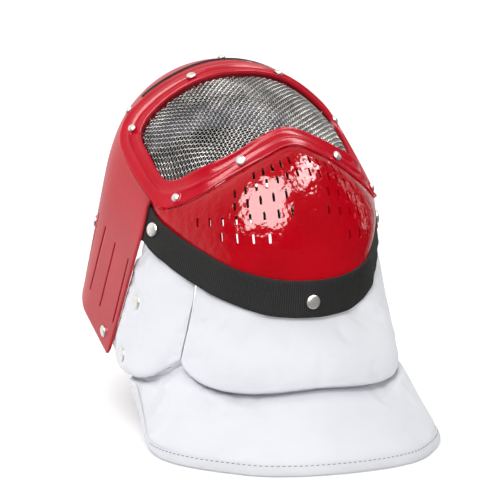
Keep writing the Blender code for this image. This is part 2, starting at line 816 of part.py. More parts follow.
def make_liner(material, collection):
    """Make the dark liner inside the crown and behind the head."""
    grid = []
    for step in range(LINER_STEPS + 1):
        share = (step / LINER_STEPS) ** 0.85
        station = LINER_FRONT + (BACK_STATION - LINER_FRONT) * share
        row = []
        for column in range(LINER_COLUMNS + 1):
            girth = 1.0 - (1.0 - LINER_LOW_GIRTH) * column / LINER_COLUMNS
            spot = helm(girth, station, LINER_SHRINK)
            if step == LINER_STEPS:
                spot.x = 0.0
            row.append(spot)
        grid.append(row)
    return sheet("head_liner", grid, LINER_WALL, material, collection)


def make_brow_pad(material, collection):
    """Make the pale pad that arches over the brow."""
    grid = []
    for level in (1, -1):
        row = []
        for column in range(BROW_COLUMNS + 1):
            angle = math.pi / 2 * 0.93 * column / BROW_COLUMNS
            side = BROW_HALF_WIDTH * math.sin(angle)
            up = EAR_UP + BROW_RISE * math.cos(angle)
            out = Vector((math.sin(angle), 0.0, math.cos(angle)))
            row.append(Vector((side, BROW_FORWARD, up)) + out * level * BROW_HALF_HEIGHT)
        grid.append(row)
    behind = Vector((0.0, BROW_FORWARD - 1.0, EAR_UP))
    return sheet("brow_pad", grid, BROW_THICK, material, collection, behind)


def read_line(line, position):
    """Return the spot at a fractional position on a line of spots."""
    below = min(int(position), len(line) - 2)
    return mix(line[below], line[below + 1], position - below)


def behind_strap(strap_top, strap_low):
    """Return the bib's top edge behind the strap and its line just below it."""
    hidden_top = pushed(strap_top, strap_low, -(WEBBING + GAP * 2))
    hidden_low = pushed(strap_low, strap_top, -(WEBBING + GAP * 2))
    tops = [mix(a, b, BIB_TUCK) for a, b in zip(hidden_top, hidden_low)]
    lows = [mix(a, b, 1.05) for a, b in zip(hidden_top, hidden_low)]
    return tops, lows


def upper_tier_grid(tops, lows):
    """Return the upper bib tier's surface, from the strap to its seam."""
    rows = []
    for index, row in enumerate(UPPER_ROWS):
        share = index / (len(UPPER_ROWS) - 1)
        first = UPPER_FIRST * SAMPLES
        position = first + (len(tops) - 1 - first) * share
        seam = Vector((row.seam_side, row.seam_forward, row.seam_up))
        swell = Vector((row.swell, 0.0, 0.0))
        rows.append((read_line(tops, position), read_line(lows, position), seam, swell))
    stations = smooth(rows, SAMPLES, mirror_end=True)
    stations[-1][3].x = UPPER_ROWS[-1].swell
    seams = [row[2] for row in stations]
    bends = seam_bends(stations[0][1], stations[0][2])
    grid = [[row[0] for row in stations]]
    grid += [[] for _ in range(UPPER_STEPS + 1)]
    for index, (_, low, seam, _) in enumerate(stations):
        normal = outward(slope(seams, index), seam - low, seam)
        if abs(seam.x) < 1e-7:
            normal.x = 0.0
            normal.normalize()
        pull = (1 - index / (len(stations) - 1)) ** 4
        for step in range(UPPER_STEPS + 1):
            share = step / UPPER_STEPS
            swell = stations[index][3].x * math.sin(math.pi * share ** 1.3) ** 0.8
            spot = mix(low, seam, share) + normal * swell + bends[step] * pull
            grid[step + 1].append(spot)
    round_side(grid)
    return grid


def seam_bends(head, foot):
    """Return how far the side seam bends off its chord at each level."""
    bends = [Vector()]
    for index, row in enumerate(SIDE_SEAM):
        share = (index + 1) / len(SIDE_SEAM)
        bends.append(Vector((row.side, row.forward, row.up)) - mix(head, foot, share))
    return bends


def round_side(grid):
    """Round the padding over at the first column of a grid."""
    for index, row in enumerate(grid):
        below = grid[min(index + 1, len(grid) - 1)][0]
        above = grid[max(index - 1, 0)][0]
        seam = row[0]
        along = (row[1] - seam).normalized()
        inward = -outward(along, below - above, seam)
        depth = SEAM_DIP if index > 0 else 0.0
        row[0:1] = [
            seam + inward * depth + along * SEAM_CLEAR,
            seam + along * (SEAM_CLEAR + SEAM_ROUND),
        ]


def lower_tier_lines():
    """Return the lower tier's top and hem lines with its lift at each station."""
    rows = [
        (
            Vector((row.top_side, row.top_forward, row.top_up)),
            Vector((row.hem_side, row.hem_forward, row.hem_up)),
            Vector((row.lift, 0.0, 0.0)),
        )
        for row in LOWER_ROWS
    ]
    stations = smooth(rows, SAMPLES, mirror_end=True)
    stations[-1][2].x = LOWER_ROWS[-1].lift
    return stations


def lower_tier_grid(stations):
    """Return the lower bib tier's surface, from under the seam to the hem."""
    tops = [row[0] for row in stations]
    hems = [row[1] for row in stations]
    tucked = pushed(tops, hems, -(PADDING + GAP * 3), BIB_CENTRE)
    grid = [[] for _ in range(LOWER_STEPS + 2)]
    for index, (top, hem, lift) in enumerate(stations):
        down = (hem - top).normalized()
        hidden = tucked[index]
        grid[0].append(hidden - down * 0.004)
        grid[1].append(hidden + down * 0.0012)
        for step in range(1, LOWER_STEPS + 1):
            share = step / LOWER_STEPS
            rise = lift.x * math.sin(math.pi * share)
            spot = mix(top, hem, share) + Vector((0.0, 0.0, rise))
            grid[step + 1].append(spot)
    return grid


def make_binding(grid, material, collection):
    """Make the bound edge: down the tier's rear edge and along the hem."""
    rear = [row[0] for row in grid[BINDING_FIRST:]]
    rear_inner = [row[1] for row in grid[BINDING_FIRST:]]
    hem = grid[-1][1:]
    hem_inner = grid[-2][1:]
    path = rear + hem
    inner = rear_inner + hem_inner
    sections = []
    half = BINDING_THICK / 2
    for index, (spot, partner) in enumerate(zip(path, inner)):
        along = slope(path, index)
        away = spot - partner
        normal = outward(along, away, spot, BIB_CENTRE)
        away = (away - along * away.dot(along)).normalized()
        if abs(spot.x) < 1e-7:
            away.x = 0.0
            normal.x = 0.0
            away.normalize()
            normal.normalize()
        core = spot - normal * (PADDING / 2)
        clear = BINDING_CLEAR * (1 + 1.5 * clamp(1 - index / len(rear)))
        near = core + away * clear
        far = core + away * (BINDING_WIDTH * 0.5)
        sections.append((
            near + normal * half * 0.92,
            mix(near, far, 0.55) + normal * half,
            far + normal * half * 0.45,
            far - normal * half * 0.45,
            mix(near, far, 0.55) - normal * half,
            near - normal * half * 0.92,
        ))
    return tube("hem_binding", sections, material, collection, capped=True)


def flap_grid(tops, lows):
    """Return the side flap's surface on one side."""
    rows = []
    for row in FLAP_ROWS:
        position = row.strap_row * SAMPLES
        low = Vector((row.low_side, row.low_forward, row.low_up))
        swell = Vector((row.swell, 0.0, 0.0))
        rows.append((read_line(tops, position), read_line(lows, position), low, swell))
    stations = smooth(rows, SAMPLES)
    stations.reverse()
    bends = seam_bends(stations[0][1], stations[0][2])
    grid = [[] for _ in range(FLAP_STEPS + 2)]
    heads = [row[1] for row in stations]
    for index, (hidden, head, low, swell) in enumerate(stations):
        normal = outward(slope(heads, index), low - head, head)
        pull = (1 - index / (len(stations) - 1)) ** 2
        grid[0].append(hidden)
        for step in range(FLAP_STEPS + 1):
            share = step / FLAP_STEPS
            rise = max(0.0, swell.x) * math.sin(math.pi * share) ** 0.8
            spot = mix(head, low, share) + normal * rise + bends[step] * pull
            grid[step + 1].append(spot)
    round_side(grid)
    corner = grid[1][-1].copy()
    for index, row in enumerate(grid):
        margin = row[-1] - Vector((0.0, FLAP_MARGIN, 0.0))
        if index < 2:
            drop = FLAP_MARGIN_DROP * (1 + index)
            margin = corner - Vector((0.0, FLAP_MARGIN, drop))
        if index == len(grid) - 1:
            margin.z += FLAP_MARGIN_DROP
        row.append(margin)
    return grid


def make_flaps(tops, lows, material, collection):
    """Make the left and right side flaps."""
    grid = flap_grid(tops, lows)
    other = [[across(spot) for spot in row] for row in grid]
    for name, cells in (("bib_flap_left", grid), ("bib_flap_right", other)):
        sheet(name, cells, PADDING, material, collection, mirrored=False)


def rivet_mesh(radius):
    """Return half of a rivet cap's outline, to be turned round its axis."""
    outline = (
        (0.0, CAP_HEIGHT),
        (radius * 0.62, CAP_HEIGHT * 0.82),
        (radius, CAP_RIM),
        (radius * 0.96, 0.0),
        (0.0, 0.0),
    )
    mesh = bpy.data.meshes.new("rivet_outline")
    points = [(x, 0.0, z) for x, z in outline]
    edges = [(index, index + 1) for index in range(len(points) - 1)]
    mesh.from_pydata(points, edges, [])
    return mesh


def rivet_seat(host, aim, radius):
    """Return where a cap sits on its host and the axis it stands on."""
    middle = place(HEAD_CENTRE)
    inward = (middle - aim).normalized()
    _, spot, normal, _ = host.ray_cast(aim - inward * 0.05, inward)
    first = normal.orthogonal().normalized()
    second = normal.cross(first)
    level = 0.0
    tilt = normal.copy()
    for probe in range(SEAT_PROBES):
        angle = 2 * math.pi * probe / SEAT_PROBES
        arm = (first * math.cos(angle) + second * math.sin(angle)) * radius
        hit, _, hit_normal, _ = host.ray_cast(spot + arm + normal * 0.01, -normal)
        if hit:
            tilt += hit_normal
    axis = tilt.normalized()
    for probe in range(SEAT_PROBES * 2):
        angle = math.pi * probe / SEAT_PROBES
        for reach in (0.5, 1.0):
            arm = (first * math.cos(angle) + second * math.sin(angle)) * radius * reach
            arm -= axis * arm.dot(axis)
            hit, place_hit, _, _ = host.ray_cast(spot + arm + axis * 0.01, -axis)
            if hit:
                level = max(level, (place_hit - spot).dot(axis))
    return spot + axis * (level + SEAT_CLEARANCE), axis


def make_rivets(material, collection):
    """Set a rivet cap on its host at every place in the table."""
    bpy.context.view_layer.update()
    depsgraph = bpy.context.evaluated_depsgraph_get()
    for row in RIVET_ROWS:
        host = bpy.data.objects[row.host].evaluated_get(depsgraph)
        aim = place(Vector((row.side, row.forward, row.up)))
        spot, axis = rivet_seat(host, aim, row.radius)
        sides = (("", 1),) if row.side == 0 else (("_left", 1), ("_right", -1))
        for suffix, sign in sides:
            name = row.name + suffix
            piece = add_part(name, rivet_mesh(row.radius), material, collection)
            here = Vector((spot.x * sign, spot.y, spot.z))
            upright = Vector((axis.x * sign, axis.y, axis.z))
            if row.side == 0:
                here.x = 0.0
                upright.x = 0.0
            piece.location = here
            piece.rotation_mode = "QUATERNION"
            piece.rotation_quaternion = upright.to_track_quat("Z", "Y")
            screw = piece.modifiers.new("turned", "SCREW")
            screw.steps = RIVET_SIDES
            screw.render_steps = RIVET_SIDES
            screw.use_merge_vertices = True
            screw.merge_threshold = 0.00001
            screw.use_smooth_shade = True


def main():
    """Build every piece of the mask."""
    clear_scene()
    parts = new_collection("fencing_mask")
    cutters = new_collection("cutters")
    glossy = finish("glossy_red", GLOSSY_RED, 0.12)
    satin = finish("satin_red", SATIN_RED, 0.38)
    wire = finish("wire", WIRE_GREY, 0.35, 0.9)
    webbing = finish("webbing", WEBBING_BLACK, 0.85)
    cloth = finish("bib_cloth", BIB_WHITE, 0.8)
    nickel = finish("nickel", NICKEL, 0.25, 1.0)
    liner = finish("liner", LINER_GREY, 0.95)
    brow = finish("brow_cloth", BROW_BLUE, 0.9)

    opening, edge = frame_lines()
    strap_top, strap_low, swells = strap_lines()
    make_frame(opening, edge, glossy, parts)
    make_visor(opening, wire, parts)
    make_shell(edge, satin, parts, cutters)
    make_guard(guard_grid(edge, strap_top, strap_low, swells), glossy, parts, cutters)
    make_strap(strap_top, strap_low, webbing, parts)
    make_crown_strap(webbing, parts)
    make_liner(liner, parts)
    make_brow_pad(brow, parts)
    tops, lows = behind_strap(strap_top, strap_low)
    upper = upper_tier_grid(tops, lows)
    sheet("bib_upper_tier", upper, PADDING, cloth, parts, BIB_CENTRE)
    lower = lower_tier_grid(lower_tier_lines())
    sheet("bib_lower_tier", lower, PADDING, cloth, parts, BIB_CENTRE)
    make_binding(lower, cloth, parts)
    make_flaps(tops, lows, cloth, parts)
    make_rivets(nickel, parts)


main()
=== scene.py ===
"""Looks of a fencing mask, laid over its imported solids.

Lengths are in metres in the part's frame: +X is the wearer's left, the face
looks towards -Y and +Z is up.  The shape tables give spots as (side, forward,
up) over the plane of the bib's hem, and `place` turns them into the frame.
"""
import logging
import math
from collections.abc import Callable
from dataclasses import dataclass, field
from enum import Enum
from itertools import accumulate
from typing import NamedTuple

import bmesh
import bpy
from mathutils import Matrix, Vector
from mathutils.bvhtree import BVHTree


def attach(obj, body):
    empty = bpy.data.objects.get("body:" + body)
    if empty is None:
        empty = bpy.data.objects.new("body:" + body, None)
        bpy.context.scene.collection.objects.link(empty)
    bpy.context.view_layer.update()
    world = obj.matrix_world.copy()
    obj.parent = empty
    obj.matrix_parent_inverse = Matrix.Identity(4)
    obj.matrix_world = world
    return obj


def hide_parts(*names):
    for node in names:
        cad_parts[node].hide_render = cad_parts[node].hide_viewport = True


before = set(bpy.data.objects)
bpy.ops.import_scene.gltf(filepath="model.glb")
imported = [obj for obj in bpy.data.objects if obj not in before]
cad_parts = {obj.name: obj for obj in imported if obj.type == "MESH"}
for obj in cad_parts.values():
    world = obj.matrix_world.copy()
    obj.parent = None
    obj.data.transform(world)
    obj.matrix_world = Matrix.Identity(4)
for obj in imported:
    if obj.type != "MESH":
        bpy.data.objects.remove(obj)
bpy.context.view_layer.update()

LOG = logging.getLogger("fencing_mask")

Colour = tuple[float, float, float]
Size = tuple[float, float, float]
Row = list[Vector]
Grid = list[Row]
Form = bmesh.types.BMesh
Piece = bpy.types.Object
Material = bpy.types.Material

SEAT_FORWARD = -0.068
SEAT_UP = 0.2835
HEAD_CENTRE = Vector((0.0, 0.0, 0.160))
BIB_CENTRE = Vector((0.0, 0.040, -0.010))
ON_MIDDLE = 1e-7
MERGED = 1e-5
WALL_ROUNDING = 0.0008


# ------------------------------------------------------------------ places
def place(spot: Vector) -> Vector:
    """Turn (side, forward, up) into the part's frame."""
    return Vector((spot[0], SEAT_FORWARD - spot[1], spot[2] - SEAT_UP))


def aimed(way: Vector) -> Vector:
    """Turn a direction as side, forward and up into the part's frame."""
    return Vector((way.x, -way.y, way.z))


def across(spot: Vector) -> Vector:
    """Return the same spot on the other side of the middle plane."""
    return Vector((-spot[0], spot[1], spot[2]))


def clamp(value: float) -> float:
    """Limit a share to the range from 0 to 1."""
    return min(1.0, max(0.0, value))


def mix(first: Vector, second: Vector, share: float) -> Vector:
    """Return the spot at a share of the way between two spots."""
    return first + (second - first) * share


def slope(line: Row, index: int) -> Vector:
    """Return the direction of a line of spots at one of them."""
    return (line[min(len(line) - 1, index + 1)] - line[max(0, index - 1)]).normalized()


def outward(along: Vector, down: Vector, spot: Vector, centre: Vector = HEAD_CENTRE) -> Vector:
    """Find the normal of two directions that points off a centre.

    Args:
        along: the first direction.
        down: the second direction.
        spot: the spot on the surface.
        centre: the middle of what the surface goes round.

    Returns:
        The unit normal, level with the middle plane for a spot on it.
    """
    normal = along.cross(down).normalized()
    if normal.dot(spot - centre) < 0:
        normal = -normal
    if abs(spot.x) < ON_MIDDLE:
        normal.x = 0.0
        normal.normalize()
    return normal


def pushed(line: Row, partner: Row, distance: float) -> Row:
    """Move a line along the normals of the band between it and a partner."""
    return [spot + outward(slope(line, i), partner[i] - spot, spot) * distance
            for i, spot in enumerate(line)]


def smooth(rows: Grid, per_gap: int, mirror_start: bool = False, mirror_end: bool = True) -> Grid:
    """Run a smooth curve through rows of spots.

    Args:
        rows: rows that hold the same number of spots.
        per_gap: stations made for each gap between two rows.
        mirror_start: the first row lies on the middle plane.
        mirror_end: the last row lies on the middle plane.

    Returns:
        The stations, each with as many spots as a row.
    """

    def beyond(end: Row, inner: Row, mirrored: bool) -> Row:
        """Return the row past an end."""
        return [across(b) if mirrored else 2 * a - b for a, b in zip(end, inner)]

    def knot(first: Row, second: Row) -> float:
        """Return the knot spacing between two rows."""
        return max(1e-4, sum((a - b).length for a, b in zip(first, second))) ** 0.5

    def blend(first: Row, second: Row, start: float, stop: float, t: float) -> Row:
        """Blend two rows at a knot value."""
        return [(a * (stop - t) + b * (t - start)) / (stop - start)
                for a, b in zip(first, second)]

    chain = [beyond(rows[0], rows[1], mirror_start), *rows, beyond(rows[-1], rows[-2], mirror_end)]
    result = []
    for a, b, c, d in zip(chain, chain[1:], chain[2:], chain[3:]):
        ta = 0.0
        tb = knot(a, b)
        tc = tb + knot(b, c)
        td = tc + knot(c, d)
        for step in range(per_gap):
            t = tb + (tc - tb) * step / per_gap
            bc = blend(b, c, tb, tc, t)
            abc = blend(blend(a, b, ta, tb, t), bc, ta, tc, t)
            bcd = blend(bc, blend(c, d, tc, td, t), tb, td, t)
            result.append(blend(abc, bcd, tb, tc, t))
    result.append([spot.copy() for spot in rows[-1]])
    return result


def both_sides(grid: Grid) -> Grid:
    """Add the other half to rows that end or start on the middle plane.

    Args:
        grid: rows of one half.

    Returns:
        Rows that run from side to side.
    """
    if abs(grid[0][0].x) < 1e-6:
        return [[across(s) for s in reversed(row[1:])] + row for row in grid]
    return [row + [across(s) for s in reversed(row[:-1])] for row in grid]


# ------------------------------------------------------------------ meshes
def opened(*pieces: Piece) -> Form:
    """Return the meshes of some pieces as one bmesh.

    Args:
        pieces: the pieces.

    Returns:
        Their faces in one bmesh.
    """
    form = bmesh.new()
    for piece in pieces:
        form.from_mesh(piece.data)
    form.normal_update()
    return form


def written(form: Form, piece: Piece) -> Piece:
    """Write a bmesh back to a piece.

    Args:
        form: the bmesh, freed here.
        piece: the piece.

    Returns:
        The piece.
    """
    form.to_mesh(piece.data)
    form.free()
    return piece


def tree_of(*pieces: Piece) -> BVHTree:
    """Return the surfaces of some pieces as one tree.

    Args:
        pieces: the pieces.

    Returns:
        The tree.
    """
    form = opened(*pieces)
    tree = BVHTree.FromBMesh(form)
    form.free()
    return tree


def linked(name: str, data: bpy.types.ID, matrix: Matrix = Matrix()) -> Piece:
    """Put data in the scene as an object.

    Args:
        name: the object's name.
        data: a mesh, curve, light or camera.
        matrix: its place in the frame.

    Returns:
        The object.
    """
    made = bpy.data.objects.new(name, data)
    made.matrix_world = matrix
    bpy.context.scene.collection.objects.link(made)
    return made


def dropped(piece: Piece) -> None:
    """Remove a helper and its mesh.

    Args:
        piece: the helper.
    """
    mesh = piece.data
    bpy.data.objects.remove(piece)
    bpy.data.meshes.remove(mesh)


def new_piece(name: str, form: Form) -> Piece:
    """Turn a bmesh into an object in the scene.

    Args:
        name: the object's name.
        form: the bmesh, freed here.

    Returns:
        The object, shaded smooth.
    """
    mesh = bpy.data.meshes.new(name)
    form.to_mesh(mesh)
    form.free()
    mesh.shade_smooth()
    return linked(name, mesh)


def evaluated(piece: Piece) -> tuple[Piece, bpy.types.Depsgraph]:
    """Return a piece as its modifiers leave it, and the depsgraph.

    Args:
        piece: the piece.

    Returns:
        The evaluated piece and its depsgraph.
    """
    bpy.context.view_layer.update()
    depsgraph = bpy.context.evaluated_depsgraph_get()
    return piece.evaluated_get(depsgraph), depsgraph


def baked(piece: Piece) -> Piece:
    """Apply a piece's modifiers to its mesh.

    Args:
        piece: the piece.

    Returns:
        The piece, without modifiers.
    """
    final, depsgraph = evaluated(piece)
    mesh = bpy.data.meshes.new_from_object(final, preserve_all_data_layers=True,
                                           depsgraph=depsgraph)
    old = piece.data
    piece.modifiers.clear()
    piece.data = mesh
    mesh.name = piece.name
    bpy.data.meshes.remove(old)
    return piece


def upright(spot: Vector, axis: Vector) -> Matrix:
    """Return the matrix of a spot, turned so that its Z follows an axis."""
    return Matrix.Translation(spot) @ axis.to_track_quat("Z", "Y").to_matrix().to_4x4()


def turned(*axes: Vector) -> Matrix:
    """Return the matrix whose columns are three axes."""
    return Matrix(axes).transposed().to_4x4()


def shaped(piece: Piece, kind: str, **settings: object) -> Piece:
    """Give a piece a modifier with its settings.

    Args:
        piece: the piece.
        kind: the modifier's type.
        settings: its attributes by name.

    Returns:
        The piece, with the modifier still on it.
    """
    modifier = piece.modifiers.new(kind.lower(), kind)
    for key, value in settings.items():
        setattr(modifier, key, value)
    return piece


def subdivided(piece: Piece, levels: int = 2) -> Piece:
    """Round a coarse piece with a subdivision surface."""
    return baked(shaped(piece, "SUBSURF", levels=levels, render_levels=levels))


def softened(piece: Piece, width: float, segments: int, degrees: float = 60.0) -> Piece:
    """Round a piece's sharp edges."""
    return baked(shaped(piece, "BEVEL", width=width, segments=segments, limit_method="ANGLE",
                        angle_limit=math.radians(degrees), use_clamp_overlap=True))


def pierced(piece: Piece, cutters: Form) -> Piece:
    """Cut a piece with closed forms and drop them.

    Args:
        piece: the piece.
        cutters: the forms, in one bmesh.

    Returns:
        The piece.
    """
    tool = new_piece(piece.name + "_cutter", cutters)
    baked(shaped(piece, "BOOLEAN", operation="DIFFERENCE", solver="EXACT", object=tool))
    dropped(tool)
    return piece


def crisp(piece: Piece, degrees: float) -> Piece:
    """Shade a piece smooth but for its edges over an angle.

    Args:
        piece: the piece.
        degrees: the angle past which an edge stays sharp.

    Returns:
        The piece.
    """
    form = opened(piece)
    for face in form.faces:
        face.smooth = True
    for edge in form.edges:
        edge.smooth = edge.calc_face_angle(0.0) < math.radians(degrees)
    return written(form, piece)


def closed(form: Form, distance: float = 1e-6) -> Form:
    """Merge a form's doubled spots and turn its faces out.

    Args:
        form: the bmesh.
        distance: spots nearer than this are merged.

    Returns:
        The bmesh.
    """
    bmesh.ops.remove_doubles(form, verts=form.verts, dist=distance)
    bmesh.ops.recalc_face_normals(form, faces=form.faces)
    return form


def laid(grid: Grid) -> Form:
    """Lay a grid over rows of spots, with its own lengths as a UV map.

    Args:
        grid: rows of spots of one length.

    Returns:
        An open surface in the part's frame.
    """

    def lengths(line: Row) -> list[float]:
        """Return how far along a line each spot lies."""
        return list(accumulate(((b - a).length for a, b in zip(line, line[1:])), initial=0.0))

    rows, columns = len(grid), len(grid[0])
    reach = lengths(grid[rows // 2])
    drop = lengths([row[columns // 2] for row in grid])
    form = bmesh.new()
    bmesh.ops.create_grid(form, x_segments=columns - 1, y_segments=rows - 1, size=1.0)
    where = {}
    for vert in form.verts:
        column = round((vert.co.x + 1) / 2 * (columns - 1))
        row = round((1 - vert.co.y) / 2 * (rows - 1))
        where[vert.index] = (reach[column], drop[row])
        vert.co = place(grid[row][column])
    layer = form.loops.layers.uv.new("length")
    for face in form.faces:
        for loop in face.loops:
            loop[layer].uv = where[loop.vert.index]
    return form


def walled(name: str, half: Grid, wall: float, even: bool = True, relax: int = 0,
           merge: bool = False, centre: Vector = HEAD_CENTRE) -> Piece:
    """Make a thin wall behind a surface and its mirror image.

    Args:
        name: the piece's name.
        half: the outer surface of one half.
        wall: the thickness, inwards.
        even: keep the thickness at corners; False suits acute ones.
        relax: rounds of smoothing inside the surface's edge.
        merge: join the two ends of a loop.
        centre: the middle of what the wall goes round.

    Returns:
        The piece, with its wall still a modifier.
    """
    form = laid(both_sides(half))
    inner = [v for v in form.verts if not v.is_boundary]
    for _ in range(relax):
        bmesh.ops.smooth_vert(form, verts=inner, factor=0.5, use_axis_x=True,
                              use_axis_y=True, use_axis_z=True)
    if merge:
        bmesh.ops.remove_doubles(form, verts=form.verts, dist=MERGED)
    form.normal_update()
    middle = place(centre)
    if sum(face.normal.dot(face.calc_center_median() - middle) * face.calc_area()
           for face in form.faces) < 0:
        bmesh.ops.reverse_faces(form, faces=form.faces)
    return shaped(new_piece(name, form), "SOLIDIFY", thickness=wall, offset=-1.0,
                  use_even_offset=even)


def moulded(piece: Piece, cutters: Form, rim: float, segments: int) -> Piece:
    """Round a wall's edges, cut it and round the rims of the cuts.

    Args:
        piece: the wall.
        cutters: the forms that cut it.
        rim: width of the rounding round the cuts.
        segments: steps of that rounding.

    Returns:
        The piece.
    """
    pierced(softened(piece, WALL_ROUNDING, 3), cutters)
    return crisp(softened(piece, rim, segments), 40.0)


def cad_copy(name: str, node: str, crease: float, crease_over: float = 45.0) -> Piece:
    """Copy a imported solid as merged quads, with its sharp edges creased.

    Args:
        name: name of the new piece.
        node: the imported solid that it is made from.
        crease: crease given to the solid's sharp edges.
        crease_over: angle in degrees past which an edge counts as sharp.

    Returns:
        The new piece.
    """
    form = opened(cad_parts[node])
    bmesh.ops.remove_doubles(form, verts=form.verts, dist=MERGED)
    bmesh.ops.join_triangles(form, faces=form.faces, angle_face_threshold=math.radians(35),
                             angle_shape_threshold=math.radians(70))
    bmesh.ops.recalc_face_normals(form, faces=form.faces)
    layer = form.edges.layers.float.new("crease_edge")
    for edge in form.edges:
        if edge.calc_face_angle(0.0) > math.radians(crease_over):
            edge[layer] = crease
    for face in form.faces:
        face.material_index = 0
    return new_piece(name, form)


def slot_form(into: Form, centre: Vector, out: Vector, long: Vector, size: Size) -> None:
    """Add a round-ended slot cutter to a bmesh.

    Args:
        into: the bmesh that collects the cutters.
        centre: the slot's middle on the surface.
        out: the surface's normal there.
        long: the slot's direction.
        size: depth, width and length.
    """
    long = (long - out * long.dot(out)).normalized()
    turn = turned(out, long.cross(out).normalized(), long)
    matrix = Matrix.Translation(centre) @ turn @ Matrix.Diagonal((*size, 1.0))
    made = bmesh.ops.create_cube(into, size=1.0, matrix=matrix)
    corners = [
        edge for edge in {e for v in made["verts"] for e in v.link_edges}
        if abs((edge.verts[0].co - edge.verts[1].co).normalized().dot(out)) > 0.99
    ]
    bmesh.ops.bevel(into, geom=corners, offset=size[1] * 0.46, segments=3,
                    affect="EDGES", profile=0.5, material=-1)


def seat(node: str) -> tuple[Vector, Vector, float]:
    """Measure a packed rivet cap.

    Args:
        node: the cap's solid.

    Returns:
        The centre of its base, its axis and its radius.
    """
    form = opened(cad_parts[node])
    spots = [v.co.copy() for v in form.verts]
    centre = sum(spots, Vector()) / len(spots)
    axis = Vector()
    for face in form.faces:
        if face.normal.dot(centre - place(HEAD_CENTRE)) < 0:
            axis -= face.normal * face.calc_area()
    form.free()
    axis.normalize()
    centre += axis * (min(spot.dot(axis) for spot in spots) - centre.dot(axis))
    return centre, axis, max((spot - centre).cross(axis).length for spot in spots)


def settle(piece: Piece, material: Material, slot: str, *nodes: str) -> Piece:
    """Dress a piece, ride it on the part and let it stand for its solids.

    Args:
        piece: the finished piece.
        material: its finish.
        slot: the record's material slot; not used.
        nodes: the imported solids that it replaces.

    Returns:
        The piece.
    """
    piece.data.materials.clear()
    piece.data.materials.append(material)
    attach(piece, "root")
    if nodes:
        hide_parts(*nodes)
    LOG.info("%s: %d faces", piece.name, len(piece.data.polygons))
    return piece


# ---------------------------------------------------------------- shaders
def sums(operation: str, turned_round: bool = False) -> Callable:
    """Make a method that adds a Math node on a value and another.

    Args:
        operation: the node's operation.
        turned_round: True puts the other value first.

    Returns:
        The method.
    """

    def method(value: "Value", other: "Value | float") -> "Value":
        """Add the node."""
        parts = (other, value) if turned_round else (value, other)
        return value.sheet.maths(operation, *parts)

    return method


class Value:
    """A number socket that takes part in Python sums."""

    __add__ = __radd__ = sums("ADD")
    __mul__ = __rmul__ = sums("MULTIPLY")
    __truediv__ = sums("DIVIDE")
    __sub__ = sums("SUBTRACT")
    __rsub__ = sums("SUBTRACT", turned_round=True)

    def __init__(self, sheet: "NodeSheet", socket: bpy.types.NodeSocket) -> None:
        """Wrap a socket of a node tree."""
        self.sheet = sheet
        self.socket = socket

    def sine(self) -> "Value":
        """Return the sine."""
        return self.sheet.maths("SINE", self)

    def over(self, edge: float, width: float) -> "Value":
        """Return a soft step from 0 to 1 at an edge."""
        above = self.sheet.maths("MAXIMUM", (self - edge) / width, 0.0)
        return self.sheet.maths("MINIMUM", above, 1.0)


class NodeSheet:
    """A node tree under construction."""

    def __init__(self, tree: bpy.types.NodeTree) -> None:
        """Start on a node tree."""
        self.tree = tree

    def node(self, kind: str, settings: dict | None = None, sockets: dict | None = None,
             out: int | str = 0) -> Value:
        """Add a node.

        Args:
            kind: the node's type name without its common prefix.
            settings: attributes, set first.
            sockets: values or links by socket name or number.
            out: the output that is returned.

        Returns:
            The output as a value.
        """
        made = self.tree.nodes.new("ShaderNode" + kind)
        for key, value in (settings or {}).items():
            setattr(made, key, value)
        for key, value in (sockets or {}).items():
            self.feed(made.inputs[key], value)
        return Value(self, made.outputs[out])

    def feed(self, socket: bpy.types.NodeSocket, value: object) -> None:
        """Link a value to a socket, or set the socket to it.

        Args:
            socket: the input.
            value: a value to link, a colour or a number.
        """
        if isinstance(value, Value):
            self.tree.links.new(value.socket, socket)
        elif socket.type == "RGBA":
            socket.default_value = (*value, 1.0)
        else:
            socket.default_value = value

    def maths(self, operation: str, *parts: "Value | float") -> Value:
        """Add a Math node."""
        return self.node("Math", {"operation": operation}, dict(enumerate(parts)))

    def axes(self, vector: Value) -> list[Value]:
        """Split a vector."""
        node = self.node("SeparateXYZ", sockets={0: vector}).socket.node
        return [Value(self, output) for output in node.outputs]

    def tint(self, share: Value, first: "Value | Colour", second: "Value | Colour") -> Value:
        """Mix two colours."""
        return self.node("Mix", {"data_type": "RGBA"}, {0: share, 6: first, 7: second}, out=2)


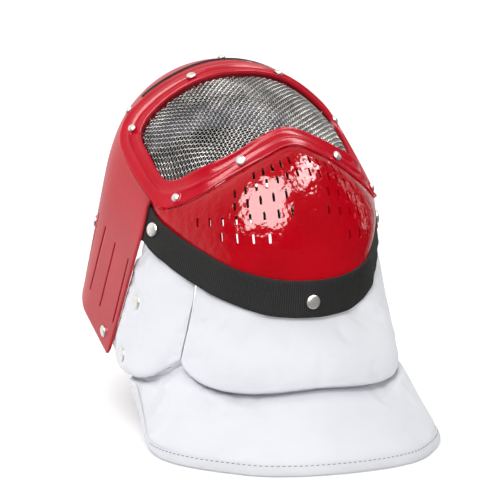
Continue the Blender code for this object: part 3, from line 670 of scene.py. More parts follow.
class Dye(NodeSheet):
    """One procedural material under construction."""

    def __init__(self, name: str) -> None:
        """Start a material with a Principled shader.

        Args:
            name: the material's name.
        """
        self.material = bpy.data.materials.new(name)
        self.material.use_nodes = True
        super().__init__(self.material.node_tree)
        self.shader = self.tree.nodes["Principled BSDF"]

    def spot(self) -> Value:
        """Return the Object coordinates."""
        return self.node("TexCoord", out="Object")

    def lengths(self) -> list[Value]:
        """Return the piece's own lengths, along it and across it."""
        return self.axes(self.node("UVMap", {"uv_map": "length"}))

    def stretched(self, *scale: float) -> Value:
        """Return the Object coordinates on stretched axes."""
        return self.node("Mapping", sockets={"Vector": self.spot(), "Scale": scale})

    def noise(self, size: float, detail: float = 2.0, rough: float = 0.5,
              where: Value | None = None) -> Value:
        """Return noise with features of a size in metres.

        Args:
            size: size of its features in metres.
            detail: octaves of finer noise.
            rough: strength of the finer octaves.
            where: coordinates; None takes the Object ones.

        Returns:
            The noise, from 0 to 1.
        """
        return self.node("TexNoise", {"noise_dimensions": "3D"},
                         {"Vector": where or self.spot(), "Scale": 1.0 / size,
                          "Detail": detail, "Roughness": rough})

    def relief(self, height: Value, depth: float, under: Value | None = None) -> Value:
        """Turn a height into a normal; depth is in metres."""
        sockets = {"Strength": 1.0, "Distance": depth, "Height": height}
        return self.node("Bump", sockets=sockets | ({"Normal": under} if under else {}))

    def finish(self, **sockets: object) -> Material:
        """Feed the shader's sockets, named with underscores, and return it.

        Args:
            sockets: what each socket is fed.

        Returns:
            The material.
        """
        for key, value in sockets.items():
            name = key.replace("_", " ").title().replace("Ior", "IOR")
            self.feed(self.shader.inputs[name], value)
        return self.material


@dataclass(frozen=True)
class Finish:
    """A finish that varies between a colour and its shade."""

    name: str
    colour: Colour
    shade: Colour

    def material(self) -> Material:
        """Return the material."""
        dye = Dye(self.name)
        return dye.finish(**self.sockets(dye))

    def sockets(self, dye: Dye) -> dict[str, object]:
        """Return what the shader's sockets are fed, by name."""
        raise NotImplementedError


@dataclass(frozen=True)
class MouldedPlastic(Finish):
    """Injection-moulded plastic with sinks, ripples, a fine skin and painted shade on an inner
    wall.
    """

    roughness: float
    shine: float
    sink: float = 0.0002
    ripple: float = 0.00008
    skin: float = 0.00001
    painted_shade_wall: float = 0.0
    painted_shade_colour: Colour = (0.13, 0.001, 0.005)

    def sockets(self, dye: Dye) -> dict[str, object]:
        """Return the sockets; painted shade on the inner wall goes by the piece's lengths.

        Args:
            dye: the material under construction.

        Returns:
            What the shader's sockets are fed, by name.
        """
        colour = dye.tint(dye.noise(0.045, 3.0).over(0.35, 0.35), self.shade, self.colour)
        # Painted shade: the band of the inner wall down to the wire is coloured dark red, where
        # shade falls.
        if self.painted_shade_wall:
            _, drop, _ = dye.lengths()
            inside = drop.over(0.0002, 0.0003) * (1.0 - drop.over(self.painted_shade_wall, 0.0012))
            colour = dye.tint(inside, colour, self.painted_shade_colour)
        normal = dye.relief(dye.noise(0.020, 1.0), self.sink)
        normal = dye.relief(dye.noise(0.006, 1.5), self.ripple, normal)
        normal = dye.relief(dye.noise(0.001, 2.0), self.skin, normal)
        scuff = dye.noise(0.006, 4.0, 0.7)
        return {"base_color": colour, "roughness": scuff * 0.08 + (self.roughness - 0.04),
                "normal": normal, "specular_ior_level": self.shine}


@dataclass(frozen=True)
class DrawnWire(Finish):
    """Stainless wire with a dull film."""

    name: str = "drawn_wire"
    colour: Colour = (0.53, 0.515, 0.49)
    shade: Colour = (0.25, 0.245, 0.235)

    def sockets(self, dye: Dye) -> dict[str, object]:
        """Return the sockets.

        Args:
            dye: the material under construction.

        Returns:
            What the shader's sockets are fed, by name.
        """
        film = dye.noise(0.018, 3.0).over(0.35, 0.3)
        return {"base_color": dye.tint(film, self.shade, self.colour), "metallic": 0.52,
                "roughness": dye.noise(0.0015, 2.0) * 0.12 + 0.18}


@dataclass(frozen=True)
class WovenWebbing(Finish):
    """Flat webbing: ribs across it, crossed by the warp's ends."""

    name: str = "woven_webbing"
    colour: Colour = (0.027, 0.024, 0.022)
    shade: Colour = (0.004, 0.004, 0.004)
    rib: float = 0.0018
    end: float = 0.0021
    height: float = 0.00045

    def sockets(self, dye: Dye) -> dict[str, object]:
        """Return the sockets, which follow the piece's own lengths.

        Args:
            dye: the material under construction.

        Returns:
            What the shader's sockets are fed, by name.
        """
        along, over, _ = dye.lengths()
        ribs = (along * (2 * math.pi / self.rib)).sine() * 0.5 + 0.5
        shift = (along * (math.pi / self.rib)).sine().over(-0.1, 0.2) * math.pi
        ends = ((over * (2 * math.pi / self.end)) + shift).sine() * 0.5 + 0.5
        weave = ribs * 0.45 + ends * ribs * 0.55
        fuzz = dye.noise(0.0004, 3.0)
        return {"base_color": dye.tint(weave * 0.8 + fuzz * 0.25, self.shade, self.colour),
                "normal": dye.relief(weave + fuzz * 0.15, self.height), "roughness": 0.62,
                "sheen_weight": 0.03, "sheen_roughness": 0.4, "specular_ior_level": 0.25}


@dataclass(frozen=True)
class PaddedCloth(Finish):
    """Close-woven cotton over padding, with soft drag lines."""

    thread: float = 0.00085
    thread_height: float = 0.00009
    drag: float = 0.0008

    def sockets(self, dye: Dye) -> dict[str, object]:
        """Return the sockets.

        Args:
            dye: the material under construction.

        Returns:
            What the shader's sockets are fed, by name.
        """
        side, forward, up = dye.axes(dye.spot())
        turn = 2 * math.pi / self.thread
        warp = ((side + forward * 0.6) * turn).sine()
        weft = ((up + forward * 0.4) * turn).sine()
        weave = warp * weft * 0.5 + 0.5
        cloud = dye.noise(0.050, 3.0).over(0.30, 0.4)
        drag = dye.noise(0.020, 2.5, 0.55, dye.stretched(0.55, 1.0, 1.5))
        threads = weave * 0.7 + dye.noise(0.0007, 3.0) * 0.5
        normal = dye.relief(threads, self.thread_height, dye.relief(drag, self.drag))
        return {"base_color": dye.tint(cloud * 0.8 + weave * 0.2, self.shade, self.colour),
                "normal": normal, "roughness": 0.86, "sheen_weight": 0.15,
                "sheen_roughness": 0.5}


@dataclass(frozen=True)
class SewingThread(Finish):
    """Twisted sewing thread, coloured grey as painted shade in the stitch holes."""

    name: str = "stitch_thread_painted_shade"
    # Painted shade: the white thread is coloured grey for the shade in the stitch holes.
    colour: Colour = (0.20, 0.21, 0.24)
    shade: Colour = (0.11, 0.12, 0.14)

    def sockets(self, dye: Dye) -> dict[str, object]:
        """Return the sockets.

        Args:
            dye: the material under construction.

        Returns:
            What the shader's sockets are fed, by name.
        """
        fuzz = dye.noise(0.0003, 2.0)
        return {"base_color": dye.tint(fuzz, self.shade, self.colour), "roughness": 0.7,
                "normal": dye.relief(fuzz, 0.00008)}


@dataclass(frozen=True)
class NickelPlate(Finish):
    """Polished nickel with hairlines and a little haze."""

    name: str = "nickel_plate"
    colour: Colour = (0.88, 0.86, 0.81)
    shade: Colour = (0.72, 0.69, 0.65)

    def sockets(self, dye: Dye) -> dict[str, object]:
        """Return the sockets.

        Args:
            dye: the material under construction.

        Returns:
            What the shader's sockets are fed, by name.
        """
        haze = dye.noise(0.002, 3.0).over(0.4, 0.3)
        lines = dye.noise(0.0012, 3.0, 0.6, dye.stretched(8.0, 1.0, 1.0))
        return {"base_color": dye.tint(haze, self.shade, self.colour), "metallic": 0.72,
                "roughness": lines * 0.16 + 0.22, "normal": dye.relief(lines, 0.000015)}


@dataclass(frozen=True)
class NappedCloth(Finish):
    """Brushed lining cloth."""

    def sockets(self, dye: Dye) -> dict[str, object]:
        """Return the sockets.

        Args:
            dye: the material under construction.

        Returns:
            What the shader's sockets are fed, by name.
        """
        nap = dye.noise(0.0012, 4.0, 0.7)
        share = nap * 0.5 + dye.noise(0.030, 2.0) * 0.5
        return {"base_color": dye.tint(share, self.shade, self.colour), "roughness": 0.95,
                "normal": dye.relief(nap, 0.0004), "sheen_weight": 0.02,
                "sheen_roughness": 0.6, "specular_ior_level": 0.1}


@dataclass(frozen=True)
class StudioPaper(Finish):
    """Seamless pale paper."""

    name: str = "studio_paper"
    colour: Colour = (0.93, 0.93, 0.94)
    shade: Colour = (0.91, 0.91, 0.92)

    def sockets(self, dye: Dye) -> dict[str, object]:
        """Return the sockets.

        Args:
            dye: the material under construction.

        Returns:
            What the shader's sockets are fed, by name.
        """
        cloud = dye.noise(0.6, 2.0)
        return {"base_color": dye.tint(cloud, self.shade, self.colour), "roughness": 0.9,
                "emission_color": (1.0, 1.0, 1.0), "emission_strength": 0.15}


class Slot(Enum):
    """The record's material slots."""

    GLOSSY_RED = "glossy_red"
    SATIN_RED = "satin_red"
    WIRE = "wire"
    WEBBING = "webbing"
    BIB_CLOTH = "bib_cloth"
    NICKEL = "nickel"
    LINER = "liner"
    BROW_CLOTH = "brow_cloth"


# ------------------------------------------------------------------ shapes
class BandRow(NamedTuple):
    """Two facing spots of a band as side, forward and up, and its swell."""

    near_side: float
    near_forward: float
    near_up: float
    far_side: float
    far_forward: float
    far_up: float
    swell: float = 0.0

    def spots(self) -> Row:
        """Return the two spots, and the swell as a spot's side."""
        return [Vector(self[:3]), Vector(self[3:6]), Vector((self.swell, 0.0, 0.0))]


class PanelRow(NamedTuple):
    """Girth and station of the shell's front edge, and its rear girth."""

    front_girth: float
    front_station: float
    rear_girth: float


class VentRow(NamedTuple):
    """Ends of a vent in the shell's cheek."""

    top_forward: float
    top_up: float
    low_forward: float
    low_up: float


class SlotRow(NamedTuple):
    """A row of slots in the chin guard."""

    down: float
    count: int
    pitch: float
    first: float


# The visor opening and the frame's outer edge, from the crown to the nose.
FRAME_ROWS = (
    BandRow(0.0000, -0.0260, 0.2795, 0.0000, -0.0450, 0.2900),
    BandRow(0.0210, -0.0272, 0.2778, 0.0240, -0.0465, 0.2870),
    BandRow(0.0400, -0.0290, 0.2720, 0.0460, -0.0475, 0.2790),
    BandRow(0.0560, -0.0310, 0.2630, 0.0640, -0.0485, 0.2695),
    BandRow(0.0690, -0.0315, 0.2530, 0.0790, -0.0490, 0.2585),
    BandRow(0.0790, -0.0305, 0.2430, 0.0910, -0.0480, 0.2465),
    BandRow(0.0855, -0.0260, 0.2320, 0.0995, -0.0400, 0.2300),
    BandRow(0.0860, -0.0040, 0.2165, 0.1010, -0.0080, 0.2075),
    BandRow(0.0830, 0.0200, 0.2005, 0.0980, 0.0240, 0.1900),
    BandRow(0.0770, 0.0340, 0.2035, 0.0950, 0.0355, 0.1843),
    BandRow(0.0685, 0.0490, 0.2125, 0.0855, 0.0505, 0.1880),
    BandRow(0.0570, 0.0600, 0.2205, 0.0720, 0.0630, 0.1975),
    BandRow(0.0410, 0.0640, 0.2285, 0.0530, 0.0710, 0.2110),
    BandRow(0.0210, 0.0623, 0.2385, 0.0270, 0.0790, 0.2265),
    BandRow(0.0000, 0.0620, 0.2450, 0.0000, 0.0775, 0.2360),
)
TOP_ROWS = 6
WING_ROW = 8
# The strap's upper and lower edge, and the guard's swell over them.
STRAP_ROWS = (
    BandRow(0.0973, 0.0228, 0.1830, 0.1037, 0.0228, 0.1570, 0.0002),
    BandRow(0.0965, 0.0330, 0.1763, 0.1015, 0.0312, 0.1508, 0.0008),
    BandRow(0.0890, 0.0530, 0.1660, 0.0932, 0.0475, 0.1408, 0.0020),
    BandRow(0.0770, 0.0730, 0.1565, 0.0800, 0.0695, 0.1290, 0.0060),
    BandRow(0.0590, 0.0975, 0.1450, 0.0620, 0.0940, 0.1180, 0.0120),
    BandRow(0.0310, 0.1150, 0.1375, 0.0335, 0.1135, 0.1085, 0.0160),
    BandRow(0.0000, 0.1204, 0.1356, 0.0000, 0.1210, 0.1063, 0.0174),
)
# The skirt's seam and its hem, and how far the cloth lifts between them.
HEM_ROWS = (
    BandRow(0.1080, -0.0020, 0.0440, 0.1195, 0.0740, 0.0050, 0.0100),
    BandRow(0.1075, 0.0260, 0.0460, 0.1200, 0.0980, 0.0040, 0.0050),
    BandRow(0.1020, 0.0560, 0.0540, 0.1140, 0.1210, 0.0040, 0.0020),
    BandRow(0.0945, 0.0760, 0.0660, 0.1020, 0.1410, 0.0040),
    BandRow(0.0890, 0.0970, 0.0590, 0.0880, 0.1575, 0.0040),
    BandRow(0.0745, 0.1130, 0.0520, 0.0690, 0.1750, 0.0040),
    BandRow(0.0510, 0.1275, 0.0500, 0.0460, 0.1850, 0.0040),
    BandRow(0.0250, 0.1380, 0.0520, 0.0230, 0.1895, 0.0040),
    BandRow(0.0000, 0.1410, 0.0535, 0.0000, 0.1910, 0.0040),
)


def frame_lines(per_gap: int) -> tuple[Row, Row]:
    """Return the visor opening and the frame's edge from crown to nose."""
    stations = smooth([row.spots() for row in FRAME_ROWS], per_gap, mirror_start=True)
    return [row[0] for row in stations], [row[1] for row in stations]


def strap_edges(per_gap: int) -> tuple[Row, Row, list[float]]:
    """Return the strap's upper and lower edges and the guard's swell.

    Args:
        per_gap: stations for each gap between two rows.

    Returns:
        The upper edge, the lower edge and the swell, by station.
    """
    stations = smooth([row.spots() for row in STRAP_ROWS], per_gap)
    return ([row[0] for row in stations], [row[1] for row in stations],
            [max(0.0, row[2].x) for row in stations])


@dataclass
class HelmForm:
    """The raked arch that shell, strap and lining follow."""

    half: float = 0.107
    ear_up: float = 0.190
    rise: float = 0.101
    crown: float = -0.070
    crown_reach: float = 0.095
    dip: float = 6.0
    power: float = 2.05
    bend: float = -0.045
    back: float = -0.160
    rake: float = 0.467
    rake_limit: float = 0.010
    tuck: float = 0.010
    cheek: float = 0.083
    tuck_from: float = 0.157
    unit: float = 0.100

    def half_width(self, station: float) -> float:
        """Return the half width at a station."""
        bend = clamp((self.bend - station) / (self.bend - self.back))
        return self.half * (1 - bend ** 1.7) ** 0.6

    def crown_rise(self, station: float) -> float:
        """Return the crown's height over the ears at a station.

        Args:
            station: distance in front of the ears before the rake.

        Returns:
            The height.
        """
        behind = (self.crown - station) / self.crown_reach
        if behind < 0:
            return self.rise - self.dip * (station - self.crown) ** 2
        return self.rise * math.sqrt(1 - min(1.0, behind) ** 2)

    def lean(self, up: float) -> float:
        """Return how far forward of its station a height lies.

        Args:
            up: height over the hem's plane.

        Returns:
            The length forward, less than 0 below the ears.
        """
        over = up - self.ear_up
        if over < 0:
            return self.rake * over
        return self.rake_limit * (1 - math.exp(-self.rake * over / self.rake_limit))

    def spot(self, girth: float, station: float, shrink: float = 0.0) -> Vector:
        """Find a spot of the form.

        Args:
            girth: 1 at the crown, 0 at the ears, below them minus the drop.
            station: distance in front of the ears before the rake.
            shrink: share by which the form is made smaller.

        Returns:
            The spot as side, forward and up.
        """
        scale = 1 - shrink
        side = self.half_width(station) * scale
        if girth > 0:
            angle = girth * math.pi / 2
            rise = math.sin(angle) ** (2 / self.power)
            side *= max(0.0, math.cos(angle)) ** (2 / self.power)
            up = self.ear_up + self.crown_rise(station) * rise * scale
        else:
            up = self.ear_up + self.unit * girth
        front = clamp((station - self.bend) / self.cheek)
        height = clamp((up - self.tuck_from) / (self.ear_up - self.tuck_from))
        side = side - self.tuck * front * height if girth < 1 else 0.0
        return Vector((side, station + self.lean(up), up))

    def read(self, spot: Vector) -> tuple[float, float]:
        """Find where on the form a spot near it lies.

        Args:
            spot: side, forward and up.

        Returns:
            Its girth and station.
        """
        station = spot.y - self.lean(spot.z)
        over = spot.z - self.ear_up
        if over <= 0:
            return over / self.unit, station
        share = min(1.0, over / self.crown_rise(station)) ** (self.power / 2)
        by_up = math.asin(share) * 2 / math.pi
        if spot.x < 1e-6:
            return 1.0, station
        share = min(1.0, spot.x / self.half_width(station)) ** (self.power / 2)
        by_side = math.acos(share) * 2 / math.pi
        weight = by_up ** 2
        return by_up * (1 - weight) + by_side * weight, station


HELM = HelmForm()


# ------------------------------------------------------------------ pieces
@dataclass
class VisorFrame:
    """Glossy moulded ring round the visor, with a lip, a groove and a ridge."""

    per_gap: int = 10
    lip: float = 0.0050
    drop: float = 0.0022
    back: float = 0.0024
    undercut: float = 0.0026
    wall: float = 0.0028
    washer: float = 0.0016
    washer_sink: float = 0.0006
    washer_wide: float = 1.5
    washer_long: float = 2.0
    rounding: float = 0.0004
    lip_way: Size = (0.55, 0.42, 0.90)
    lip_steps: tuple[float, float] = (0.35, 0.88)
    cover: float = 0.0015
    even: int = 10
    round_tip: int = 12
    band: tuple[tuple[float, float], ...] = (
        (0.025, 0.0005), (0.060, 0.0008), (0.100, 0.0008), (0.145, 0.0005),
        (0.190, 0.0001), (0.240, -0.0002), (0.320, -0.0003), (0.420, -0.0002),
        (0.475, 0.0003), (0.520, 0.0012), (0.550, 0.0016), (0.580, 0.0016),
        (0.615, 0.0012), (0.660, 0.0009), (0.760, 0.0008), (0.860, 0.0010),
        (0.930, 0.0012), (0.970, 0.0012), (0.992, 0.0009), (1.000, 0.0003),
    )

    def faces(self, edge: Row, bands: Row) -> Row:
        """Return the frame's normals along its edge, evened out.

        Args:
            edge: the frame's outer edge.
            bands: direction across the frame, by station.

        Returns:
            The unit normals.
        """
        faces = [outward(slope(edge, i), bands[i], spot) for i, spot in enumerate(edge)]
        for _ in range(self.even):
            faces[1:-1] = [(a + b * 2 + c).normalized()
                           for a, b, c in zip(faces, faces[1:], faces[2:])]
        return faces

    def sections(self) -> Grid:
        """Return the ring's closed sections from the crown to the nose.

        Returns:
            A row of spots for each station.
        """
        opening, edge = frame_lines(self.per_gap)
        bands = [(b - a).normalized() for a, b in zip(opening, edge)]
        result: Grid = []
        for inner, outer, band, normal in zip(opening, edge, bands, self.faces(edge, bands)):
            side, forward, up = self.lip_way
            lift = Vector((side * inner.x / HELM.half, forward, up)).normalized()
            if abs(inner.x) < ON_MIDDLE:
                for direction in (lift, normal, band):
                    direction.x = 0.0
                    direction.normalize()
            lip = inner + lift * self.lip
            cover = inner - band * self.cover
            ring = [cover - lift * self.drop, cover]
            ring += [mix(inner, lip, share) for share in self.lip_steps]
            ring += [mix(lip, outer, share) + normal * rise for share, rise in self.band]
            ring += [outer - normal * self.back - band * self.undercut,
                     mix(inner, outer, 0.55) - normal * (self.wall * 0.9)]
            result.append([*ring, ring[0]])
        low, high = (WING_ROW - 1) * self.per_gap, (WING_ROW + 1) * self.per_gap + 1
        for _ in range(self.round_tip):
            near = result[low - 1:high + 1]
            result[low:high] = [[(a + b * 2 + c) / 4 for a, b, c in zip(*rings)]
                                for rings in zip(near, near[1:], near[2:])]
        return result

    def raise_washers(self, ring: Piece) -> None:
        """Raise an oval washer under each cheek rivet.

        Args:
            ring: the frame.
        """
        form = opened(ring)
        for side in ("left", "right"):
            centre, axis, radius = seat("rivet_frame_cheek_" + side)
            size = Matrix.Diagonal((radius * self.washer_wide, radius * self.washer_long,
                                    self.washer, 1.0))
            bmesh.ops.create_uvsphere(
                form, u_segments=32, v_segments=12, radius=1.0,
                matrix=upright(centre - axis * self.washer_sink, axis) @ size)
        written(form, ring)

    def build(self, material: Material) -> Piece:
        """Sweep the ring and dress it.

        Args:
            material: its finish.

        Returns:
            The frame.
        """
        lines = [list(line) for line in zip(*self.sections())]
        form = laid([line + [across(s) for s in reversed(line[:-1])] for line in lines])
        ring = softened(new_piece("visor_ring", closed(form)), self.rounding, 2, 55.0)
        self.raise_washers(ring)
        return settle(crisp(ring, 60.0), material, Slot.GLOSSY_RED.value, "visor_frame")


@dataclass
class WireCloth:
    """Plain-woven wire pressed into a dome, evenly spaced along its arcs."""

    wire: float = 0.00068
    rooted: float = 0.0022
    pitch: float = 0.0029
    warp_radius: float = 0.0926
    weft_radius: float = 0.110
    weft_middle: float = 0.070
    crimp: float = 0.00054
    sink: float = 0.0007
    count: int = 46
    probe: float = 0.0006
    bow: float = 0.22
    halvings: int = 5
    above: float = 0.3
    span_across: tuple[float, float] = (-0.10, 0.10)
    span_down: tuple[float, float] = (-0.06, 0.20)
    lift: Vector = field(default_factory=lambda: Vector((0.0, -0.36, 0.933)))
    down: Vector = field(default_factory=lambda: Vector((0.0, -0.933, -0.36)))

    def dome(self) -> BVHTree:
        """Return the smooth surface that the wires follow.

        Returns:
            The dome as a tree.
        """
        skin = subdivided(cad_copy("dome_form", "visor_mesh", 1.0))
        tree = tree_of(skin)
        dropped(skin)
        return tree

    def touch(self, tree: BVHTree, side: float, reach: float) -> tuple | None:
        """Find the spot on the dome under a place.

        Args:
            tree: the dome.
            side: how far to the side the place is.
            reach: how far down the dome it is.

        Returns:
            The spot and the dome's normal there, or None beside the dome.
        """
        origin = Vector((side, 0.0, 0.0)) + self.down * reach + self.lift * self.above
        spot, normal, _, _ = tree.ray_cast(origin, -self.lift)
        if spot is None:
            return None
        return spot, -normal if normal.dot(self.lift) < 0 else normal

    def warp_at(self, number: float) -> float:
        """Return how far to the side a wire down the dome lies."""
        return self.warp_radius * math.sin(number * self.pitch / self.warp_radius)

    def weft_at(self, number: float) -> float:
        """Return how far down a wire across the dome lies."""
        turn = number * self.pitch / self.weft_radius
        return self.weft_middle + self.weft_radius * math.sin(turn)

    def strand(self, curve: bpy.types.Curve, tree: BVHTree, across_it: bool, number: int) -> None:
        """Run one wire over and under those that it crosses.

        Args:
            curve: the curve that collects the wires.
            tree: the dome.
            across_it: True for a wire that runs from side to side.
            number: the wire's number, for its place and for the weave.
        """
        fixed = self.weft_at(number) if across_it else self.warp_at(number)
        crossed = self.warp_at if across_it else self.weft_at

        def at(length: float) -> tuple | None:
            """Return the dome's spot at a length of the wire."""
            return self.touch(tree, *((length, fixed) if across_it else (fixed, length)))

        low, high = self.span_across if across_it else self.span_down
        steps = round((high - low) / self.probe)
        inside = [low + self.probe * i for i in range(steps) if at(low + self.probe * i)]
        if len(inside) < 3:
            return
        for end, sign in ((0, -1), (-1, 1)):
            for halving in range(1, self.halvings + 1):
                reach = self.probe / 2 ** halving
                if at(inside[end] + sign * reach):
                    inside[end] += sign * reach
        stations = [(inside[0], 0)]
        for crossing in range(-self.count, self.count + 1):
            over = 1 if (crossing + number + across_it) % 2 else -1
            if inside[0] < crossed(crossing) < inside[-1]:
                stations += [(crossed(crossing + bow), over) for bow in (-self.bow, self.bow)]
        stations.append((inside[-1], 0))
        points = []
        for length, over in stations:
            found = at(length)
            if found and inside[0] <= length <= inside[-1]:
                points.append(found[0] + found[1] * (self.crimp * over - self.sink))
        if len(points) < 2:
            return
        for end, inner in ((0, 1), (-1, -2)):
            points[end] = (points[end]
                           + (points[end] - points[inner]).normalized() * self.rooted)
        spline = curve.splines.new("POLY")
        spline.points.add(len(points) - 1)
        for point, spot in zip(spline.points, points):
            point.co = (*spot, 1.0)

    def build(self, material: Material) -> Piece:
        """Weave the wires over the dome.

        Args:
            material: its finish.

        Returns:
            The wire cloth.
        """
        tree = self.dome()
        curve = bpy.data.curves.new("wire_lines", "CURVE")
        curve.dimensions = "3D"
        curve.bevel_depth = self.wire / 2
        curve.bevel_resolution = 1
        curve.use_fill_caps = True
        for number in range(-self.count, self.count + 1):
            for across_it in (False, True):
                self.strand(curve, tree, across_it, number)
        holder = linked("wire_lines", curve)
        mesh = bpy.data.meshes.new_from_object(evaluated(holder)[0])
        bpy.data.objects.remove(holder)
        bpy.data.curves.remove(curve)
        mesh.name = "wire_cloth"
        mesh.shade_smooth()
        return settle(linked("wire_cloth", mesh), material, Slot.WIRE.value, "visor_mesh")


@dataclass
class ChinGuard:
    """Glossy bowl in front of the chin, with its slots."""

    per_gap: int = 6
    steps: int = 26
    wall: float = 0.0028
    webbing: float = 0.0020
    clear: float = 0.0004
    joint: float = 0.7
    wing_joint: float = 2.0
    power: float = 0.7
    tuck: float = 0.45
    relax: int = 14
    rim: float = 0.00025
    slot_size: tuple[float, float, float] = (0.012, 0.0020, 0.0076)
    slots: tuple[SlotRow, ...] = (
        SlotRow(0.17, 5, 0.0079, 0.0088),
        SlotRow(0.28, 7, 0.0089, 0.0055),
        SlotRow(0.40, 5, 0.0105, 0.0190),
        SlotRow(0.50, 8, 0.0114, 0.0160),
        SlotRow(0.65, 4, 0.0132, 0.0360),
    )

    def surface(self) -> Grid:
        """Return the outer surface of one half, from the frame to the strap.

        Returns:
            Rows of spots, each from the side to the middle.
        """
        edge = frame_lines(self.per_gap)[1][WING_ROW * self.per_gap:]
        top_line, low_line, swells = strap_edges(self.per_gap)
        depth = -(self.webbing + self.clear * 1.5)
        hidden_top = pushed(top_line, low_line, depth)
        hidden_low = pushed(low_line, top_line, depth)
        top = []
        for index, (spot, target) in enumerate(zip(edge, hidden_top)):
            wing = clamp(1 - index / (2 * self.per_gap))
            gap = self.clear * (self.joint + self.wing_joint * wing)
            top.append(spot + (target - spot).normalized() * gap)
        grid: Grid = [[] for _ in range(self.steps + 2)]
        for index, (upper, lower) in enumerate(zip(top, hidden_top)):
            along = slope(hidden_top, index) + slope(top, index)
            normal = outward(along, lower - upper, mix(upper, lower, 0.5))
            normal.x *= 1.0 if abs(upper.x) > ON_MIDDLE else 0.0
            for step in range(self.steps + 1):
                share = (1 - math.cos(math.pi * step / self.steps)) / 2
                share = 0.5 * share + 0.5 * step / self.steps
                swell = swells[index] * (4 * share * (1 - share)) ** self.power
                grid[step].append(mix(upper, lower, share) + normal * swell)
            grid[-1].append(mix(lower, hidden_low[index], self.tuck))
        return grid

    def on_surface(self, grid: Grid, along: float, down: float) -> tuple[Vector, Vector, Vector]:
        """Find a spot on the bowl.

        Args:
            grid: the bowl's outer surface.
            along: length from the middle plane.
            down: share of the way from the frame to the strap.

        Returns:
            The spot, the normal and the downward direction there.
        """
        position = round(down * (len(grid) - 2))
        row, below = grid[position][::-1], grid[position + 1][::-1]
        for index in range(len(row) - 1):
            length = (row[index + 1] - row[index]).length
            if along <= length or index == len(row) - 2:
                break
            along -= length
        spot = mix(row[index], row[index + 1], along / length)
        over = (row[index + 1] - row[index]).normalized()
        down_it = (mix(below[index], below[index + 1], along / length) - spot).normalized()
        return spot, outward(over, down_it, spot), down_it

    def cutters(self, grid: Grid) -> Form:
        """Return the slots' cutters on both sides of the bowl.

        Args:
            grid: the bowl's outer surface.

        Returns:
            The cutters, in one bmesh.
        """
        form = bmesh.new()
        for row in self.slots:
            for index in range(row.count):
                found = self.on_surface(grid, row.first + row.pitch * index, row.down)
                for spot, out, long in (found, map(across, found)):
                    slot_form(form, place(spot), aimed(out).normalized(), aimed(long),
                              self.slot_size)
        return form

    def build(self, material: Material) -> Piece:
        """Make the bowl, cut its slots and dress it.

        Args:
            material: its finish.

        Returns:
            The guard.
        """
        grid = self.surface()
        bowl = walled("chin_bowl", grid, self.wall, even=False, relax=self.relax)
        moulded(bowl, self.cutters(grid), self.rim, 1)
        return settle(bowl, material, Slot.GLOSSY_RED.value, "chin_guard")


@dataclass
class Shell:
    """Satin shell over the crown and both cheeks, with its vents."""

    per_gap: int = 4
    steps: int = 22
    wall: float = 0.0025
    clear: float = 0.0004
    top_joint: float = 1.6
    side_joint: float = 3.0
    rear: float = -0.096
    crown_rear: float = -0.120
    relax: int = 6
    rim: float = 0.0005
    column: float = 0.05
    vent_width: float = 0.0024
    vent_depth: float = 0.040
    panels: tuple[PanelRow, ...] = (
        PanelRow(-0.070, 0.0250, -0.05),
        PanelRow(-0.330, 0.0376, -0.24),
        PanelRow(-0.680, 0.0320, -0.46),
        PanelRow(-1.030, 0.0265, -0.68),
        PanelRow(-1.350, 0.0210, -0.87),
        PanelRow(-1.395, 0.0180, -0.93),
    )
    vents: tuple[VentRow, ...] = (
        VentRow(-0.072, 0.165, -0.113, 0.104),
        VentRow(-0.051, 0.157, -0.087, 0.097),
        VentRow(-0.029, 0.147, -0.064, 0.087),
        VentRow(0.000, 0.139, -0.034, 0.079),
    )

    def columns(self) -> list[tuple]:
        """Return girth, station, rear girth, rear and frame spot by column.

        Returns:
            A row for each column; below the frame its spot is None.
        """
        columns = []
        for spot in frame_lines(self.per_gap)[1][:WING_ROW * self.per_gap + 1]:
            girth, station = HELM.read(spot)
            share = math.sin(math.pi / 2 * clamp(girth)) ** 2
            rear = self.rear + (self.crown_rear - self.rear) * share
            columns.append((girth, station, max(0.0, girth), rear, spot))
        panel = [Vector(columns[-1][:3]), *(Vector(row) for row in self.panels)]
        for first, second in zip(panel, panel[1:]):
            parts = max(1, round((second - first).length / self.column))
            columns += [(*mix(first, second, part / parts), self.rear, None)
                        for part in range(1, parts + 1)]
        return columns

    def surface(self) -> Grid:
        """Return the outer surface of one half, from its front to its rear.

        Returns:
            Rows of spots, each from the crown to the lower tip.
        """
        columns = self.columns()
        grid: Grid = []
        for step in range(self.steps + 1):
            share = step / self.steps
            row = []
            for girth, station, rear_girth, rear, spot in columns:
                here = HELM.spot(girth + (rear_girth - girth) * share,
                                 station + (rear - station) * share)
                if spot is not None:
                    here += (spot - HELM.spot(girth, station)) * (1 - share) ** 2
                row.append(here)
            row[0].x = 0.0
            grid.append(row)
        for index, spot in enumerate(grid[0]):
            on_top = index < TOP_ROWS * self.per_gap
            gap = self.clear * (self.top_joint if on_top else self.side_joint)
            grid[0][index] = spot + (grid[1][index] - spot).normalized() * gap
        return grid

    def cutters(self) -> Form:
        """Return the vents' cutters on both sides.

        Returns:
            The cutters, in one bmesh.
        """
        form = bmesh.new()
        for row in self.vents:
            side = HELM.half_width((row.top_forward + row.low_forward) / 2)
            for sign in (-1, 1):
                top = place(Vector((side * sign, row.top_forward, row.top_up)))
                low = place(Vector((side * sign, row.low_forward, row.low_up)))
                size = (self.vent_depth, self.vent_width, (top - low).length)
                slot_form(form, (top + low) / 2, Vector((1.0, 0.0, 0.0)), top - low, size)
        return form

    def build(self, material: Material) -> Piece:
        """Make the shell, cut its vents and dress it.

        Args:
            material: its finish.

        Returns:
            The shell.
        """
        cover = walled("crown_and_cheeks", self.surface(), self.wall, relax=self.relax)
        moulded(cover, self.cutters(), self.rim, 2)
        return settle(cover, material, Slot.SATIN_RED.value, "helmet_shell")


